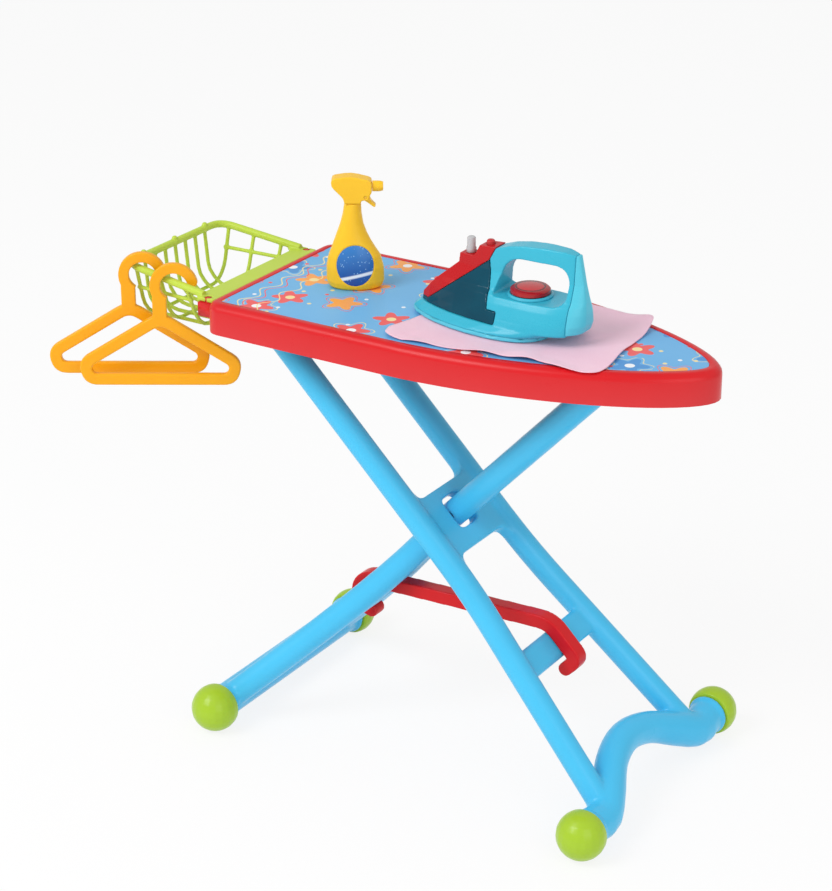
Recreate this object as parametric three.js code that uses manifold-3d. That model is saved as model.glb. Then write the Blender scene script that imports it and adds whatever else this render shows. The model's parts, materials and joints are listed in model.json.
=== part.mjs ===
import * as THREE from 'three';
import { mergeVertices } from 'three/addons/utils/BufferGeometryUtils.js';
import Module from 'manifold-3d';

// Toy ironing board with basket, two hangers, spray bottle, iron and pressing cloth.
// Millimetres, +Z up. While it is built, x = 0 is the board's rear edge, y = 0 its middle, z = 0 the floor.

const wasm = await Module();
wasm.setup();

// Clearances
const seatGap = 0.3;
const turnGap = 0.4;

// Board
const boardLength = 567;
const boardHalfWidth = 124;
const boardTop = 520;
const rimHeight = 35;
const rimShoulder = 9;
const rimWall = 3;
const deckThickness = 3;
const rearCornerRadius = 18;
const taperStart = 230;
const taperLead = 170;
const noseBluntness = 48;
const sheetInset = 14;
const sheetThickness = 1.2;
const sheetSink = 0.4;

// Arms that carry the basket
const armReach = 22;
const armWidth = 16;
const armHeight = 16;
const armSpacing = 192;
const armDrop = 10;
const pegRadius = 4;
const pegHeight = 4.5;
const pegSetback = 13;

// Hinge of the rear frame, and the sliding top of the front leg
const hingeInset = 37;
const hingeDrop = 26;
const topPinInset = 452;
const pinRadius = 4;
const bracketPlate = 3.5;
const bracketWidth = 26;
const bracketLength = 58;
const bracketFlange = 4;
const trackPlate = 4;
const trackSpacing = 37;
const trackFlange = 14;
const trackTravel = 44;
const trackEnd = 8;
const screwHeadRadius = 4;
const screwHeadHeight = 2.2;
const screwShankRadius = 1.8;
const screwBite = 2;

// Rear frame
const rearFootX = 506.6;
const rearFootSpacing = 317;
const tubeRadius = 14.5;
const tubeSpacing = 125;
const splayStart = 381;
const splaySpacing = 204;
const webAbove = 33;
const webBelow = 43;
const webThickness = 16;
const webFillet = 12;
const webHoleLength = 40;
const webHoleWidth = 37;
const crossPlateStart = 470;
const crossPlateLength = 34;
const crossPlateThickness = 12;
const footBarRadius = 18.5;
const footBarEndRadius = 20.5;
const footBarArch = 46;
const footBarDip = 3;

// Feet
const ballRadius = 28;
const ballFlat = 1;
const ballMouth = 11;
const collarRadius = 23.5;
const collarLength = 6;
const spigotRadius = 11;
const spigotLength = 11;

// Front leg
const frontFootX = 13.5;
const frontFootSpacing = 290;
const trunkRadius = 15.5;
const splitStart = 318;
const prongCurve = 1.35;
const prongSag = 7;
const frontBarRadius = 19.5;
const latchRodAlong = 461.9;
const latchRodOffset = 11.1;
const latchRodRadius = 11;

// Spreader
const spreaderWidth = 18;
const clipOuterRadius = 29;
const clipClearance = 0.5;
const clipOpening = 98;
const barRise = 18.6;
const barFrontRise = 27.2;
const hookFaceGap = 0.6;
const hookThickness = 16;
const hookEdgeGap = 4.5;
const hookReach = 13;

// Basket
const basketReach = 132;
const basketFlangeHalf = 101;
const basketFlangeWidth = 26;
const basketFlangeThickness = 5;
const basketStandoff = 1;
const basketRimHalf = 88;
const basketRimRise = 14;
const basketCorner = 20;
const basketRimRadius = 4.5;
const basketBarRadius = 2.5;
const basketFloorDrop = 46;
const basketFloorHalf = 70;
const basketNubRadius = 3.5;
const basketNubSpacing = 58;
const basketRodPitch = 19;
const basketBarOuter = 119;
const basketBarMiddle = 84;
const basketBarInner = 46;
const basketRailSpare = 3.5;

// Hangers
const hangerThickness = 8;
const hangerBar = 13.5;
const hangerLeft = 96.5;
const hangerRight = 92;
const hangerApex = 10;
const hangerDepth = 78.5;
const hangerCorner = 18;
const hangerEndRise = 29;
const hangerEndLean = 8;
const hookInnerRadius = 15.5;
const hookWidth = 11.8;
const hookSide = 16.5;
const hookRise = 40;
const hookTipAngle = 13;
const hookNeckAngle = 240;
const hangerFrontX = -64;
const hangerBackX = -110;
const hangerFrontHang = 4.65;
const hangerBackHang = 6.6;
const viewTurn = 32;

// Spray bottle
const bottleX = 112.7;
const bottleY = 10;
const bottleHeight = 98;
const bottleWall = 2;
const neckLean = 2.4;
const labelHalfWidth = 20.5;
const labelHalfHeight = 23;
const labelCentre = 29;
const labelSink = 0.3;
const labelThickness = 0.9;
const headWidth = 19;
const headFront = 19;
const nozzleRadius = 6;
const nozzleLength = 12;
const nozzleBore = 1.6;
const nozzleRise = 11;
const triggerAlong = 12;
const triggerHeight = 105.5;
const triggerWidth = 9;
const triggerPinRadius = 1.5;

// Iron
const ironX = 206;
const ironY = -14;
const soleLength = 172;
const soleHalfWidth = 44;
const soleWidest = 113;
const soleThickness = 5;
const skirtTop = 20;
const tankSeat = 13.5;
const bodyLength = 207;
const tankBackTop = 100;
const tankBackLow = 108;
const tankStep = 120;
const tankStepTop = 27;
const tankTop = 75;
const tankNose = 12;
const tankLip = 12;
const tankLipHeight = 4.5;
const handleFrontTop = 89;
const handleFront = 107;
const rearCoverLength = 7;
const gripHoleStart = 109.5;
const gripRearWall = 5;
const gripHoleBottom = 41.5;
const gripHoleTop = 83;
const dialAlong = 144;
const dialRadius = 21.5;
const dialBezelRadius = 24.5;
const dialBezelHeight = 2.7;
const dialHeight = 6.5;
const dialStemRadius = 5;
const dialTravel = 3;
const knobAlong = 71;
const knobSeat = 76;
const knobRadius = 5.5;
const knobHeight = 17;
const knobStemRadius = 2.5;
const steamAlong = 95;
const steamRadius = 4.6;
const steamWellBottom = 79;
const steamTravel = 2.5;

// Pressing cloth
const clothThickness = 1.2;
const clothRear = 223;
const clothLength = 243;
const clothNear = 102;
const clothWidth = 197;

// A geometry with only its points, each stored once
function bare(geometry) {
  const copy = geometry.clone();
  copy.deleteAttribute('normal');
  copy.deleteAttribute('uv');
  return mergeVertices(copy, 1e-4);
}

function signedVolume(geometry) {
  const place = geometry.attributes.position;
  const order = geometry.index;
  const a = new THREE.Vector3();
  const b = new THREE.Vector3();
  const c = new THREE.Vector3();
  let sum = 0;
  for (let i = 0; i < order.count; i += 3) {
    a.fromBufferAttribute(place, order.getX(i));
    b.fromBufferAttribute(place, order.getX(i + 1));
    c.fromBufferAttribute(place, order.getX(i + 2));
    sum += a.dot(b.cross(c));
  }
  return sum / 6;
}

// The same skin with its faces turned to the outside
function facingOut(geometry) {
  const clean = bare(geometry);
  if (signedVolume(clean) < 0) {
    const order = Array.from(clean.index.array);
    for (let i = 0; i < order.length; i += 3) {
      const kept = order[i + 1];
      order[i + 1] = order[i + 2];
      order[i + 2] = kept;
    }
    clean.setIndex(order);
  }
  return clean;
}

function toSolid(geometry) {
  const clean = facingOut(geometry);
  const skin = new wasm.Mesh({
    numProp: 3,
    vertProperties: new Float32Array(clean.attributes.position.array),
    triVerts: new Uint32Array(clean.index.array),
  });
  return new wasm.Manifold(skin);
}

function toGeometry(solid) {
  const skin = solid.getMesh();
  const geometry = new THREE.BufferGeometry();
  geometry.setAttribute('position', new THREE.BufferAttribute(new Float32Array(skin.vertProperties), 3));
  geometry.setIndex(new THREE.BufferAttribute(new Uint32Array(skin.triVerts), 1));
  return geometry;
}

function join(...pieces) {
  let whole = toSolid(pieces[0]);
  for (const piece of pieces.slice(1)) {
    whole = whole.add(toSolid(piece));
  }
  return toGeometry(whole);
}

function cut(base, ...tools) {
  let rest = toSolid(base);
  for (const tool of tools) {
    rest = rest.subtract(toSolid(tool));
  }
  return toGeometry(rest);
}

function common(first, second) {
  return toGeometry(toSolid(first).intersect(toSolid(second)));
}

function vec(x, y, z) {
  return new THREE.Vector3(x, y, z);
}

// A closed skin through rings with equal numbers of points, capped at both ends
function loft(rings) {
  const count = rings[0].length;
  const points = rings.flat();
  const order = [];
  for (let ring = 0; ring + 1 < rings.length; ring += 1) {
    for (let i = 0; i < count; i += 1) {
      const next = (i + 1) % count;
      const low = ring * count;
      const high = low + count;
      order.push(low + i, low + next, high + next);
      order.push(low + i, high + next, high + i);
    }
  }
  const outline = rings[0].map((point) => new THREE.Vector2(point.x, point.y));
  const capStart = (rings.length - 1) * count;
  for (const [a, b, c] of THREE.ShapeUtils.triangulateShape(outline, [])) {
    order.push(a, c, b);
    order.push(capStart + a, capStart + b, capStart + c);
  }
  const geometry = new THREE.BufferGeometry().setFromPoints(points);
  geometry.setIndex(order);
  return geometry;
}

// A round rod along a line of points; the radius is one size, or one for each point
function rod(points, radius, sides = 12) {
  const rings = [];
  let across = null;
  for (let i = 0; i < points.length; i += 1) {
    const before = points[Math.max(i - 1, 0)];
    const after = points[Math.min(i + 1, points.length - 1)];
    const along = after.clone().sub(before).normalize();
    if (across === null) {
      across = Math.abs(along.y) < 0.9 ? vec(0, 1, 0) : vec(0, 0, 1);
    }
    across = across.clone().addScaledVector(along, -across.dot(along)).normalize();
    const up = along.clone().cross(across);
    const size = Array.isArray(radius) ? radius[i] : radius;
    const ring = [];
    for (let k = 0; k < sides; k += 1) {
      const angle = (2 * Math.PI * k) / sides;
      const point = points[i].clone().addScaledVector(across, size * Math.cos(angle));
      ring.push(point.addScaledVector(up, size * Math.sin(angle)));
    }
    rings.push(ring);
  }
  const order = [];
  for (let ring = 0; ring + 1 < rings.length; ring += 1) {
    for (let k = 0; k < sides; k += 1) {
      const next = (k + 1) % sides;
      const low = ring * sides;
      const high = low + sides;
      order.push(low + k, low + next, high + next);
      order.push(low + k, high + next, high + k);
    }
  }
  const last = (rings.length - 1) * sides;
  for (let k = 1; k + 1 < sides; k += 1) {
    order.push(0, k + 1, k);
    order.push(last, last + k, last + k + 1);
  }
  const geometry = new THREE.BufferGeometry().setFromPoints(rings.flat());
  geometry.setIndex(order);
  return geometry;
}

// A line of points with its inner corners rounded
function rounded(points, reach, steps = 4) {
  const line = [points[0]];
  for (let i = 1; i + 1 < points.length; i += 1) {
    const corner = points[i];
    const back = points[i - 1].clone().sub(corner);
    const ahead = points[i + 1].clone().sub(corner);
    const size = Math.min(reach, back.length() * 0.48, ahead.length() * 0.48);
    const enter = corner.clone().addScaledVector(back.normalize(), size);
    const leave = corner.clone().addScaledVector(ahead.normalize(), size);
    const bend = new THREE.QuadraticBezierCurve3(enter, corner, leave);
    line.push(...bend.getPoints(steps));
  }
  line.push(points[points.length - 1]);
  return line;
}

function smooth(points, count) {
  return new THREE.CatmullRomCurve3(points).getSpacedPoints(count);
}

function block(x0, x1, y0, y1, z0, z1) {
  const geometry = new THREE.BoxGeometry(x1 - x0, y1 - y0, z1 - z0);
  return geometry.translate((x0 + x1) / 2, (y0 + y1) / 2, (z0 + z1) / 2);
}

function drumY(radius, y0, y1, x, z, sides = 20) {
  const geometry = new THREE.CylinderGeometry(radius, radius, y1 - y0, sides);
  return geometry.translate(x, (y0 + y1) / 2, z);
}

function drumZ(radius, z0, z1, x, y, sides = 20) {
  const geometry = new THREE.CylinderGeometry(radius, radius, z1 - z0, sides).rotateX(Math.PI / 2);
  return geometry.translate(x, y, (z0 + z1) / 2);
}

// A turned body; the profile is a list of radius and height
function turned(profile, sides = 24) {
  const line = profile.map(([radius, height]) => new THREE.Vector2(radius, height));
  return new THREE.LatheGeometry(line, sides).rotateX(Math.PI / 2);
}

function shapeOf(points) {
  return new THREE.Shape(points.map(([x, y]) => new THREE.Vector2(x, y)));
}

// A flat shape drawn in x and z, given a thickness across y
function plateXZ(shape, y0, y1, bevel = 0, curveSegments = 8) {
  const settings = {
    depth: y1 - y0 - 2 * bevel,
    curveSegments,
    bevelEnabled: bevel > 0,
    bevelSize: bevel,
    bevelThickness: bevel,
    bevelOffset: -bevel,
    bevelSegments: 2,
  };
  const geometry = new THREE.ExtrudeGeometry(shape, settings);
  return geometry.translate(0, 0, bevel).rotateX(Math.PI / 2).translate(0, y1, 0);
}

// A flat shape drawn in x and y, given a thickness upward
function plateXY(shape, z0, z1, curveSegments = 8) {
  const settings = { depth: z1 - z0, curveSegments, bevelEnabled: false };
  return new THREE.ExtrudeGeometry(shape, settings).translate(0, 0, z0);
}

// A polygon with rounded corners; the reach is one size, or one for each corner
function roundShape(points, reach) {
  const corners = points.map(([x, y]) => vec(x, y, 0));
  const shape = new THREE.Shape();
  const count = corners.length;
  for (let i = 0; i < count; i += 1) {
    const corner = corners[i];
    const back = corners[(i + count - 1) % count].clone().sub(corner);
    const ahead = corners[(i + 1) % count].clone().sub(corner);
    const wanted = Array.isArray(reach) ? reach[i] : reach;
    const size = Math.min(wanted, back.length() * 0.48, ahead.length() * 0.48);
    const enter = corner.clone().addScaledVector(back.normalize(), size);
    const leave = corner.clone().addScaledVector(ahead.normalize(), size);
    if (i === 0) {
      shape.moveTo(enter.x, enter.y);
    } else {
      shape.lineTo(enter.x, enter.y);
    }
    shape.quadraticCurveTo(corner.x, corner.y, leave.x, leave.y);
  }
  shape.closePath();
  return shape;
}

// A band of even width along a line in x and z, with a round far end
function bandShape(points, width, reach) {
  const line = rounded(points.map(([x, z]) => vec(x, z, 0)), reach, 6);
  const left = [];
  const right = [];
  line.forEach((point, i) => {
    const before = line[Math.max(i - 1, 0)];
    const after = line[Math.min(i + 1, line.length - 1)];
    const along = after.clone().sub(before).normalize();
    const side = vec(-along.y, along.x, 0).multiplyScalar(width / 2);
    left.push(point.clone().add(side));
    right.push(point.clone().sub(side));
  });
  const end = line[line.length - 1];
  const arm = left[left.length - 1].clone().sub(end);
  const tip = [];
  for (let i = 1; i < 8; i += 1) {
    tip.push(arm.clone().applyAxisAngle(vec(0, 0, 1), (-Math.PI * i) / 8).add(end));
  }
  const edge = [...left, ...tip, ...right.reverse()];
  return new THREE.Shape(edge.map((point) => new THREE.Vector2(point.x, point.y)));
}

// The corners of a polygon moved inward by the same distance from every side
function insetPolygon(points, distance) {
  const count = points.length;
  const area = THREE.ShapeUtils.area(points.map(([x, y]) => new THREE.Vector2(x, y)));
  const turn = Math.sign(area);
  const sides = points.map(([x, y], i) => {
    const [nextX, nextY] = points[(i + 1) % count];
    const length = Math.hypot(nextX - x, nextY - y);
    const nx = (-turn * (nextY - y)) / length;
    const ny = (turn * (nextX - x)) / length;
    return { nx, ny, offset: nx * x + ny * y + distance };
  });
  return points.map((point, i) => {
    const before = sides[(i + count - 1) % count];
    const after = sides[i];
    const det = before.nx * after.ny - before.ny * after.nx;
    const x = (before.offset * after.ny - after.offset * before.ny) / det;
    const y = (before.nx * after.offset - after.nx * before.offset) / det;
    return [x, y];
  });
}

function helix(radius, wire, z0, z1, turns, x, y) {
  const points = [];
  const steps = turns * 8;
  for (let i = 0; i <= steps; i += 1) {
    const angle = (2 * Math.PI * i) / 8;
    const height = z0 + wire + ((z1 - z0 - 2 * wire) * i) / steps;
    points.push(vec(x + radius * Math.cos(angle), y + radius * Math.sin(angle), height));
  }
  return rod(points, wire, 6);
}

const playSet = new THREE.Group();

function piece(name, geometry, colour, roughness, metalness = 0, parent = playSet) {
  const material = new THREE.MeshStandardMaterial({ color: colour, roughness, metalness });
  const clean = facingOut(geometry);
  clean.computeVertexNormals();
  const mesh = new THREE.Mesh(clean, material);
  mesh.name = name;
  parent.add(mesh);
  return mesh;
}

const red = 0xe2232b;
const blue = 0x14a5d7;
const lime = 0xa0cd32;
const basketGreen = 0xb9d750;
const amber = 0xfaa50f;
const yellow = 0xfcbe32;
const turquoise = 0x3cb9d7;
const paleTurquoise = 0x9fd8e4;
const teal = 0x005a6e;
const darkRed = 0xb91923;
const silver = 0xbebebe;
const steel = 0xa8a8ac;
const pink = 0xecc3d7;
const sheetBlue = 0x64b4e6;
const white = 0xf4f2ea;

// Board outline, counter-clockwise seen from above, moved inward by an inset
function boardOutline(inset) {
  const side = [];
  const taper = new THREE.CubicBezierCurve(
    new THREE.Vector2(boardLength, 0),
    new THREE.Vector2(boardLength, noseBluntness),
    new THREE.Vector2(taperStart + taperLead, boardHalfWidth),
    new THREE.Vector2(taperStart, boardHalfWidth),
  );
  side.push(...taper.getPoints(20));
  const cornerY = boardHalfWidth - rearCornerRadius;
  for (let i = 0; i <= 5; i += 1) {
    const angle = Math.PI / 2 + (Math.PI / 2) * (i / 5);
    const x = rearCornerRadius + rearCornerRadius * Math.cos(angle);
    side.push(new THREE.Vector2(x, cornerY + rearCornerRadius * Math.sin(angle)));
  }
  const mirrored = side.slice(1).reverse().map((point) => new THREE.Vector2(point.x, -point.y));
  const loop = [...side, ...mirrored];
  return loop.map((point, i) => {
    const before = loop[(i + loop.length - 1) % loop.length];
    const after = loop[(i + 1) % loop.length];
    const enter = point.clone().sub(before).normalize();
    const leave = after.clone().sub(point).normalize();
    const along = enter.add(leave).normalize();
    const bend = Math.max(along.dot(leave), 0.5);
    return new THREE.Vector2(point.x - (along.y * inset) / bend, point.y + (along.x * inset) / bend);
  });
}

function boardRing(inset, z) {
  return boardOutline(inset).map((point) => vec(point.x, point.y, z));
}

const sheetTop = boardTop - sheetSink;
const sheetBottom = sheetTop - sheetThickness;
const recessFloor = sheetBottom - seatGap;
const deckUnder = recessFloor - deckThickness;
const rimBottom = boardTop - rimHeight;
const shoulderFoot = boardTop - rimShoulder;
const armTop = boardTop - armDrop;
const hingeZ = boardTop - hingeDrop;

// Geometry of the crossed legs, all in the x and z plane
const ballZ = ballRadius - ballFlat;
const rearDown = Math.atan2(hingeZ - ballZ, rearFootX - hingeInset);
const rearLength = Math.hypot(hingeZ - ballZ, rearFootX - hingeInset);
const frontDown = Math.atan2(hingeZ - ballZ, topPinInset - frontFootX);
const frontLength = Math.hypot(hingeZ - ballZ, topPinInset - frontFootX);
const legSpan = topPinInset - hingeInset;
const crossAngle = Math.PI - rearDown - frontDown;
const rearToCross = (legSpan * Math.sin(frontDown)) / Math.sin(crossAngle);
const frontToCross = (legSpan * Math.sin(rearDown)) / Math.sin(crossAngle);
const latchX = topPinInset - latchRodAlong * Math.cos(frontDown) + latchRodOffset * Math.sin(frontDown);
const latchZ = hingeZ - latchRodAlong * Math.sin(frontDown) - latchRodOffset * Math.cos(frontDown);

const screwPlaces = [];
const bracketX0 = hingeInset - bracketLength / 2;
const bracketX1 = hingeInset + bracketLength / 2;
for (const side of [-1, 1]) {
  for (const along of [bracketX0 + screwHeadRadius + 2, bracketX1 - screwHeadRadius - 2]) {
    screwPlaces.push({ x: along, y: (side * tubeSpacing) / 2, flange: bracketFlange, set: 'bracket' });
  }
}
const trackX0 = topPinInset - trackTravel - trackEnd;
const trackX1 = topPinInset + trackEnd;
const trackScrewY = trackSpacing / 2 + trackPlate + trackFlange / 2;
for (const side of [-1, 1]) {
  for (const along of [trackX0 + trackEnd, trackX1 - trackEnd]) {
    screwPlaces.push({ x: along, y: side * trackScrewY, flange: trackPlate, set: 'track' });
  }
}

function buildBoard() {
  const rings = [boardRing(rimWall, deckUnder), boardRing(rimWall, rimBottom), boardRing(0, rimBottom)];
  rings.push(boardRing(0, shoulderFoot));
  for (const degrees of [25, 50, 72, 90]) {
    const angle = THREE.MathUtils.degToRad(degrees);
    rings.push(boardRing(rimShoulder * (1 - Math.cos(angle)), shoulderFoot + rimShoulder * Math.sin(angle)));
  }
  rings.push(boardRing(sheetInset - seatGap, boardTop));
  rings.push(boardRing(sheetInset - seatGap, recessFloor));
  let shell = loft(rings);
  for (const side of [-1, 1]) {
    const y = (side * armSpacing) / 2;
    const arm = block(-armReach, rimWall, y - armWidth / 2, y + armWidth / 2, armTop - armHeight, armTop);
    const peg = drumZ(pegRadius, armTop - 2, armTop + pegHeight, -pegSetback, y);
    shell = join(shell, arm, peg);
  }
  for (const place of screwPlaces) {
    const top = deckUnder + screwBite + seatGap;
    shell = cut(shell, drumZ(screwShankRadius + seatGap, deckUnder - 1, top, place.x, place.y, 12));
  }
  piece('board_shell', shell, red, 0.45);

  const sheet = loft([boardRing(sheetInset, sheetBottom), boardRing(sheetInset, sheetTop)]);
  piece('board_print_sheet', sheet, sheetBlue, 0.55);
}

function buildHinge() {
  const flangeTop = deckUnder - seatGap;
  const cheek = tubeRadius + turnGap + 0.6;
  for (const [word, side] of [['near', -1], ['far', 1]]) {
    const y = (side * tubeSpacing) / 2;
    const wide = cheek + bracketPlate;
    const x0 = hingeInset - bracketWidth / 2;
    const x1 = hingeInset + bracketWidth / 2;
    const flangeBottom = flangeTop - bracketFlange;
    let bracket = block(bracketX0, bracketX1, y - wide, y + wide, flangeBottom, flangeTop);
    for (const inner of [y - wide, y + cheek]) {
      const low = hingeZ - pinRadius - 6;
      bracket = join(bracket, block(x0, x1, inner, inner + bracketPlate, low, flangeBottom + 1));
    }
    bracket = cut(bracket, drumY(pinRadius + seatGap, y - wide - 1, y + wide + 1, hingeInset, hingeZ));
    for (const place of screwPlaces.filter((one) => one.set === 'bracket' && one.y === y)) {
      const hole = drumZ(screwShankRadius + seatGap, flangeBottom - 1, flangeTop + 1, place.x, place.y, 12);
      bracket = cut(bracket, hole);
    }
    piece(`hinge_bracket_${word}`, bracket, red, 0.5);
  }
  const reach = tubeSpacing / 2 + cheek + bracketPlate + 2;
  piece('hinge_rod', drumY(pinRadius, -reach, reach, hingeInset, hingeZ), steel, 0.35, 1);
}

function buildTracks() {
  const flangeTop = deckUnder - seatGap;
  const flangeBottom = flangeTop - trackPlate;
  const slotHalf = pinRadius + turnGap;
  for (const [word, side] of [['near', -1], ['far', 1]]) {
    const inner = (side * trackSpacing) / 2;
    const outer = inner + side * trackPlate;
    const edge = outer + side * trackFlange;
    const low = hingeZ - slotHalf - 6;
    const wallY = [Math.min(inner, outer), Math.max(inner, outer)];
    const flangeY = [Math.min(inner, edge), Math.max(inner, edge)];
    const upright = block(trackX0 - 4, trackX1 + 4, wallY[0], wallY[1], low, flangeTop);
    const flange = block(trackX0 - 4, trackX1 + 4, flangeY[0], flangeY[1], flangeBottom, flangeTop);
    const slotBack = drumY(slotHalf, wallY[0] - 1, wallY[1] + 1, topPinInset - trackTravel, hingeZ);
    const slotFront = drumY(slotHalf, wallY[0] - 1, wallY[1] + 1, topPinInset, hingeZ);
    const slotX0 = topPinInset - trackTravel;
    const slotLow = hingeZ - slotHalf;
    const slotHigh = hingeZ + slotHalf;
    const slot = block(slotX0, topPinInset, wallY[0] - 1, wallY[1] + 1, slotLow, slotHigh);
    let track = cut(join(upright, flange), slotBack, slotFront, slot);
    for (const place of screwPlaces.filter((one) => one.set === 'track' && one.y * side > 0)) {
      const hole = drumZ(screwShankRadius + seatGap, flangeBottom - 1, flangeTop + 1, place.x, place.y, 12);
      track = cut(track, hole);
    }
    piece(`leg_track_${word}`, track, red, 0.5);
  }
}

function buildScrews() {
  const counts = { bracket: 0, track: 0 };
  for (const place of screwPlaces) {
    counts[place.set] += 1;
    const seat = deckUnder - seatGap - place.flange - seatGap;
    const head = drumZ(screwHeadRadius, seat - screwHeadHeight, seat, place.x, place.y, 12);
    const shank = drumZ(screwShankRadius, seat - 1, deckUnder + screwBite, place.x, place.y, 8);
    const drive = block(place.x - 2.4, place.x + 2.4, place.y - 0.6, place.y + 0.6, seat - 5, seat - 1);
    const screw = cut(join(head, shank), drive);
    piece(`${place.set}_screw_${counts[place.set]}`, screw, steel, 0.3, 1);
  }
}

// A ball foot with a flat underside and a socket for the foot bar
function buildFoot(name, x, y) {
  const side = Math.sign(y);
  const mouth = y - side * ballMouth;
  const far = y - side * 3 * ballRadius;
  const ball = new THREE.SphereGeometry(ballRadius, 20, 12).rotateX(Math.PI / 2).translate(x, y, ballZ);
  const waste = block(x - 40, x + 40, Math.min(mouth, far), Math.max(mouth, far), -10, 80);
  const floor = block(x - 40, x + 40, y - 40, y + 40, -20, 0);
  const deep = mouth + side * (spigotLength + seatGap);
  const start = mouth - side * 2;
  const socket = drumY(spigotRadius + seatGap, Math.min(start, deep), Math.max(start, deep), x, ballZ, 24);
  piece(name, cut(ball, waste, floor, socket), lime, 0.4);
}

// The collar and spigot at both ends of a foot bar, in the leg's own frame
function barEnds(along, spacing) {
  const pieces = [];
  for (const side of [-1, 1]) {
    const stop = side * (spacing / 2 - ballMouth - seatGap);
    const start = stop - side * collarLength;
    const tip = stop + side * spigotLength;
    pieces.push(drumY(collarRadius, Math.min(start, stop), Math.max(start, stop), along, 0, 24));
    pieces.push(drumY(spigotRadius, Math.min(start, tip), Math.max(start, tip), along, 0, 24));
  }
  return pieces;
}

function buildRearFrame() {
  const frame = new THREE.Group();
  frame.position.set(hingeInset, 0, hingeZ);
  frame.rotation.y = rearDown;
  playSet.add(frame);

  const half = tubeSpacing / 2;
  const parts = [];
  for (const side of [-1, 1]) {
    const line = [vec(0, side * half, 0), vec(splayStart, side * half, 0)];
    line.push(vec(rearLength - 8, (side * splaySpacing) / 2, 0));
    parts.push(rod(rounded(line, 50, 5), tubeRadius, 16));
    const cap = new THREE.SphereGeometry(tubeRadius, 16, 8).rotateX(Math.PI / 2);
    parts.push(cap.translate(0, side * half, 0));
  }

  const webStart = rearToCross - webAbove;
  const webEnd = rearToCross + webBelow;
  const inside = half - tubeRadius;
  const web = new THREE.Shape();
  web.moveTo(webStart - webFillet, -half);
  web.lineTo(webStart - webFillet, -inside);
  web.quadraticCurveTo(webStart, -inside, webStart, webFillet - inside);
  web.lineTo(webStart, inside - webFillet);
  web.quadraticCurveTo(webStart, inside, webStart - webFillet, inside);
  web.lineTo(webStart - webFillet, half);
  web.lineTo(webEnd + webFillet, half);
  web.lineTo(webEnd + webFillet, inside);
  web.quadraticCurveTo(webEnd, inside, webEnd, inside - webFillet);
  web.lineTo(webEnd, webFillet - inside);
  web.quadraticCurveTo(webEnd, -inside, webEnd + webFillet, -inside);
  web.lineTo(webEnd + webFillet, -half);
  web.closePath();
  parts.push(plateXY(web, -webThickness / 2, webThickness / 2, 5));

  const plateEnd = crossPlateStart + crossPlateLength;
  const thick = crossPlateThickness / 2;
  const share = (crossPlateStart - splayStart) / (rearLength - 8 - splayStart);
  const plateHalf = half + share * (splaySpacing / 2 - half);
  parts.push(block(crossPlateStart + thick, plateEnd - thick, -plateHalf, plateHalf, -thick, thick));
  for (const along of [crossPlateStart + thick, plateEnd - thick]) {
    parts.push(drumY(thick, -plateHalf, plateHalf, along, 0, 16));
  }

  const stop = rearFootSpacing / 2 - ballMouth - seatGap;
  const dipY = splaySpacing / 2 + 12;
  const bend = [];
  for (const side of [-1, 1]) {
    const row = [
      vec(rearLength, side * (stop - 3), 0),
      vec(rearLength, side * (stop - collarLength - 3), 0),
      vec(rearLength + footBarDip, side * dipY, 0),
      vec(rearLength - 14, side * dipY * 0.71, 0),
      vec(rearLength - footBarArch + 9, side * dipY * 0.36, 0),
    ];
    bend.push(...(side < 0 ? row : row.reverse()));
    if (side < 0) {
      bend.push(vec(rearLength - footBarArch, 0, 0));
    }
  }
  const barLine = smooth(bend, 26);
  const barSizes = barLine.map((point) => {
    const share = THREE.MathUtils.smoothstep(Math.abs(point.y), dipY * 0.4, dipY * 0.85);
    return footBarRadius + share * (footBarEndRadius - footBarRadius);
  });
  parts.push(rod(barLine, barSizes, 16));
  parts.push(...barEnds(rearLength, rearFootSpacing));

  let solid = join(...parts);
  const holeHalf = webHoleLength / 2;
  const holeY = webHoleWidth / 2;
  const holeCorners = [
    [rearToCross - holeHalf, -holeY],
    [rearToCross + holeHalf, -holeY],
    [rearToCross + holeHalf, holeY],
    [rearToCross - holeHalf, holeY],
  ];
  const hole = plateXY(roundShape(holeCorners, 9), -webThickness, webThickness, 4);
  const rodBore = drumY(pinRadius + turnGap, -half - 30, half + 30, 0, 0);
  const pinReach = holeY + 14;
  const pinBore = drumY(pinRadius + seatGap, -pinReach - seatGap, pinReach + seatGap, rearToCross, 0);
  solid = cut(solid, hole, rodBore, pinBore);
  piece('rear_frame', solid, blue, 0.4, 0, frame);
  piece('cross_pivot_pin', drumY(pinRadius, -pinReach, pinReach, rearToCross, 0), steel, 0.35, 1, frame);

  buildFoot('rear_foot_near', rearFootX, -rearFootSpacing / 2);
  buildFoot('rear_foot_far', rearFootX, rearFootSpacing / 2);
}

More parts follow.
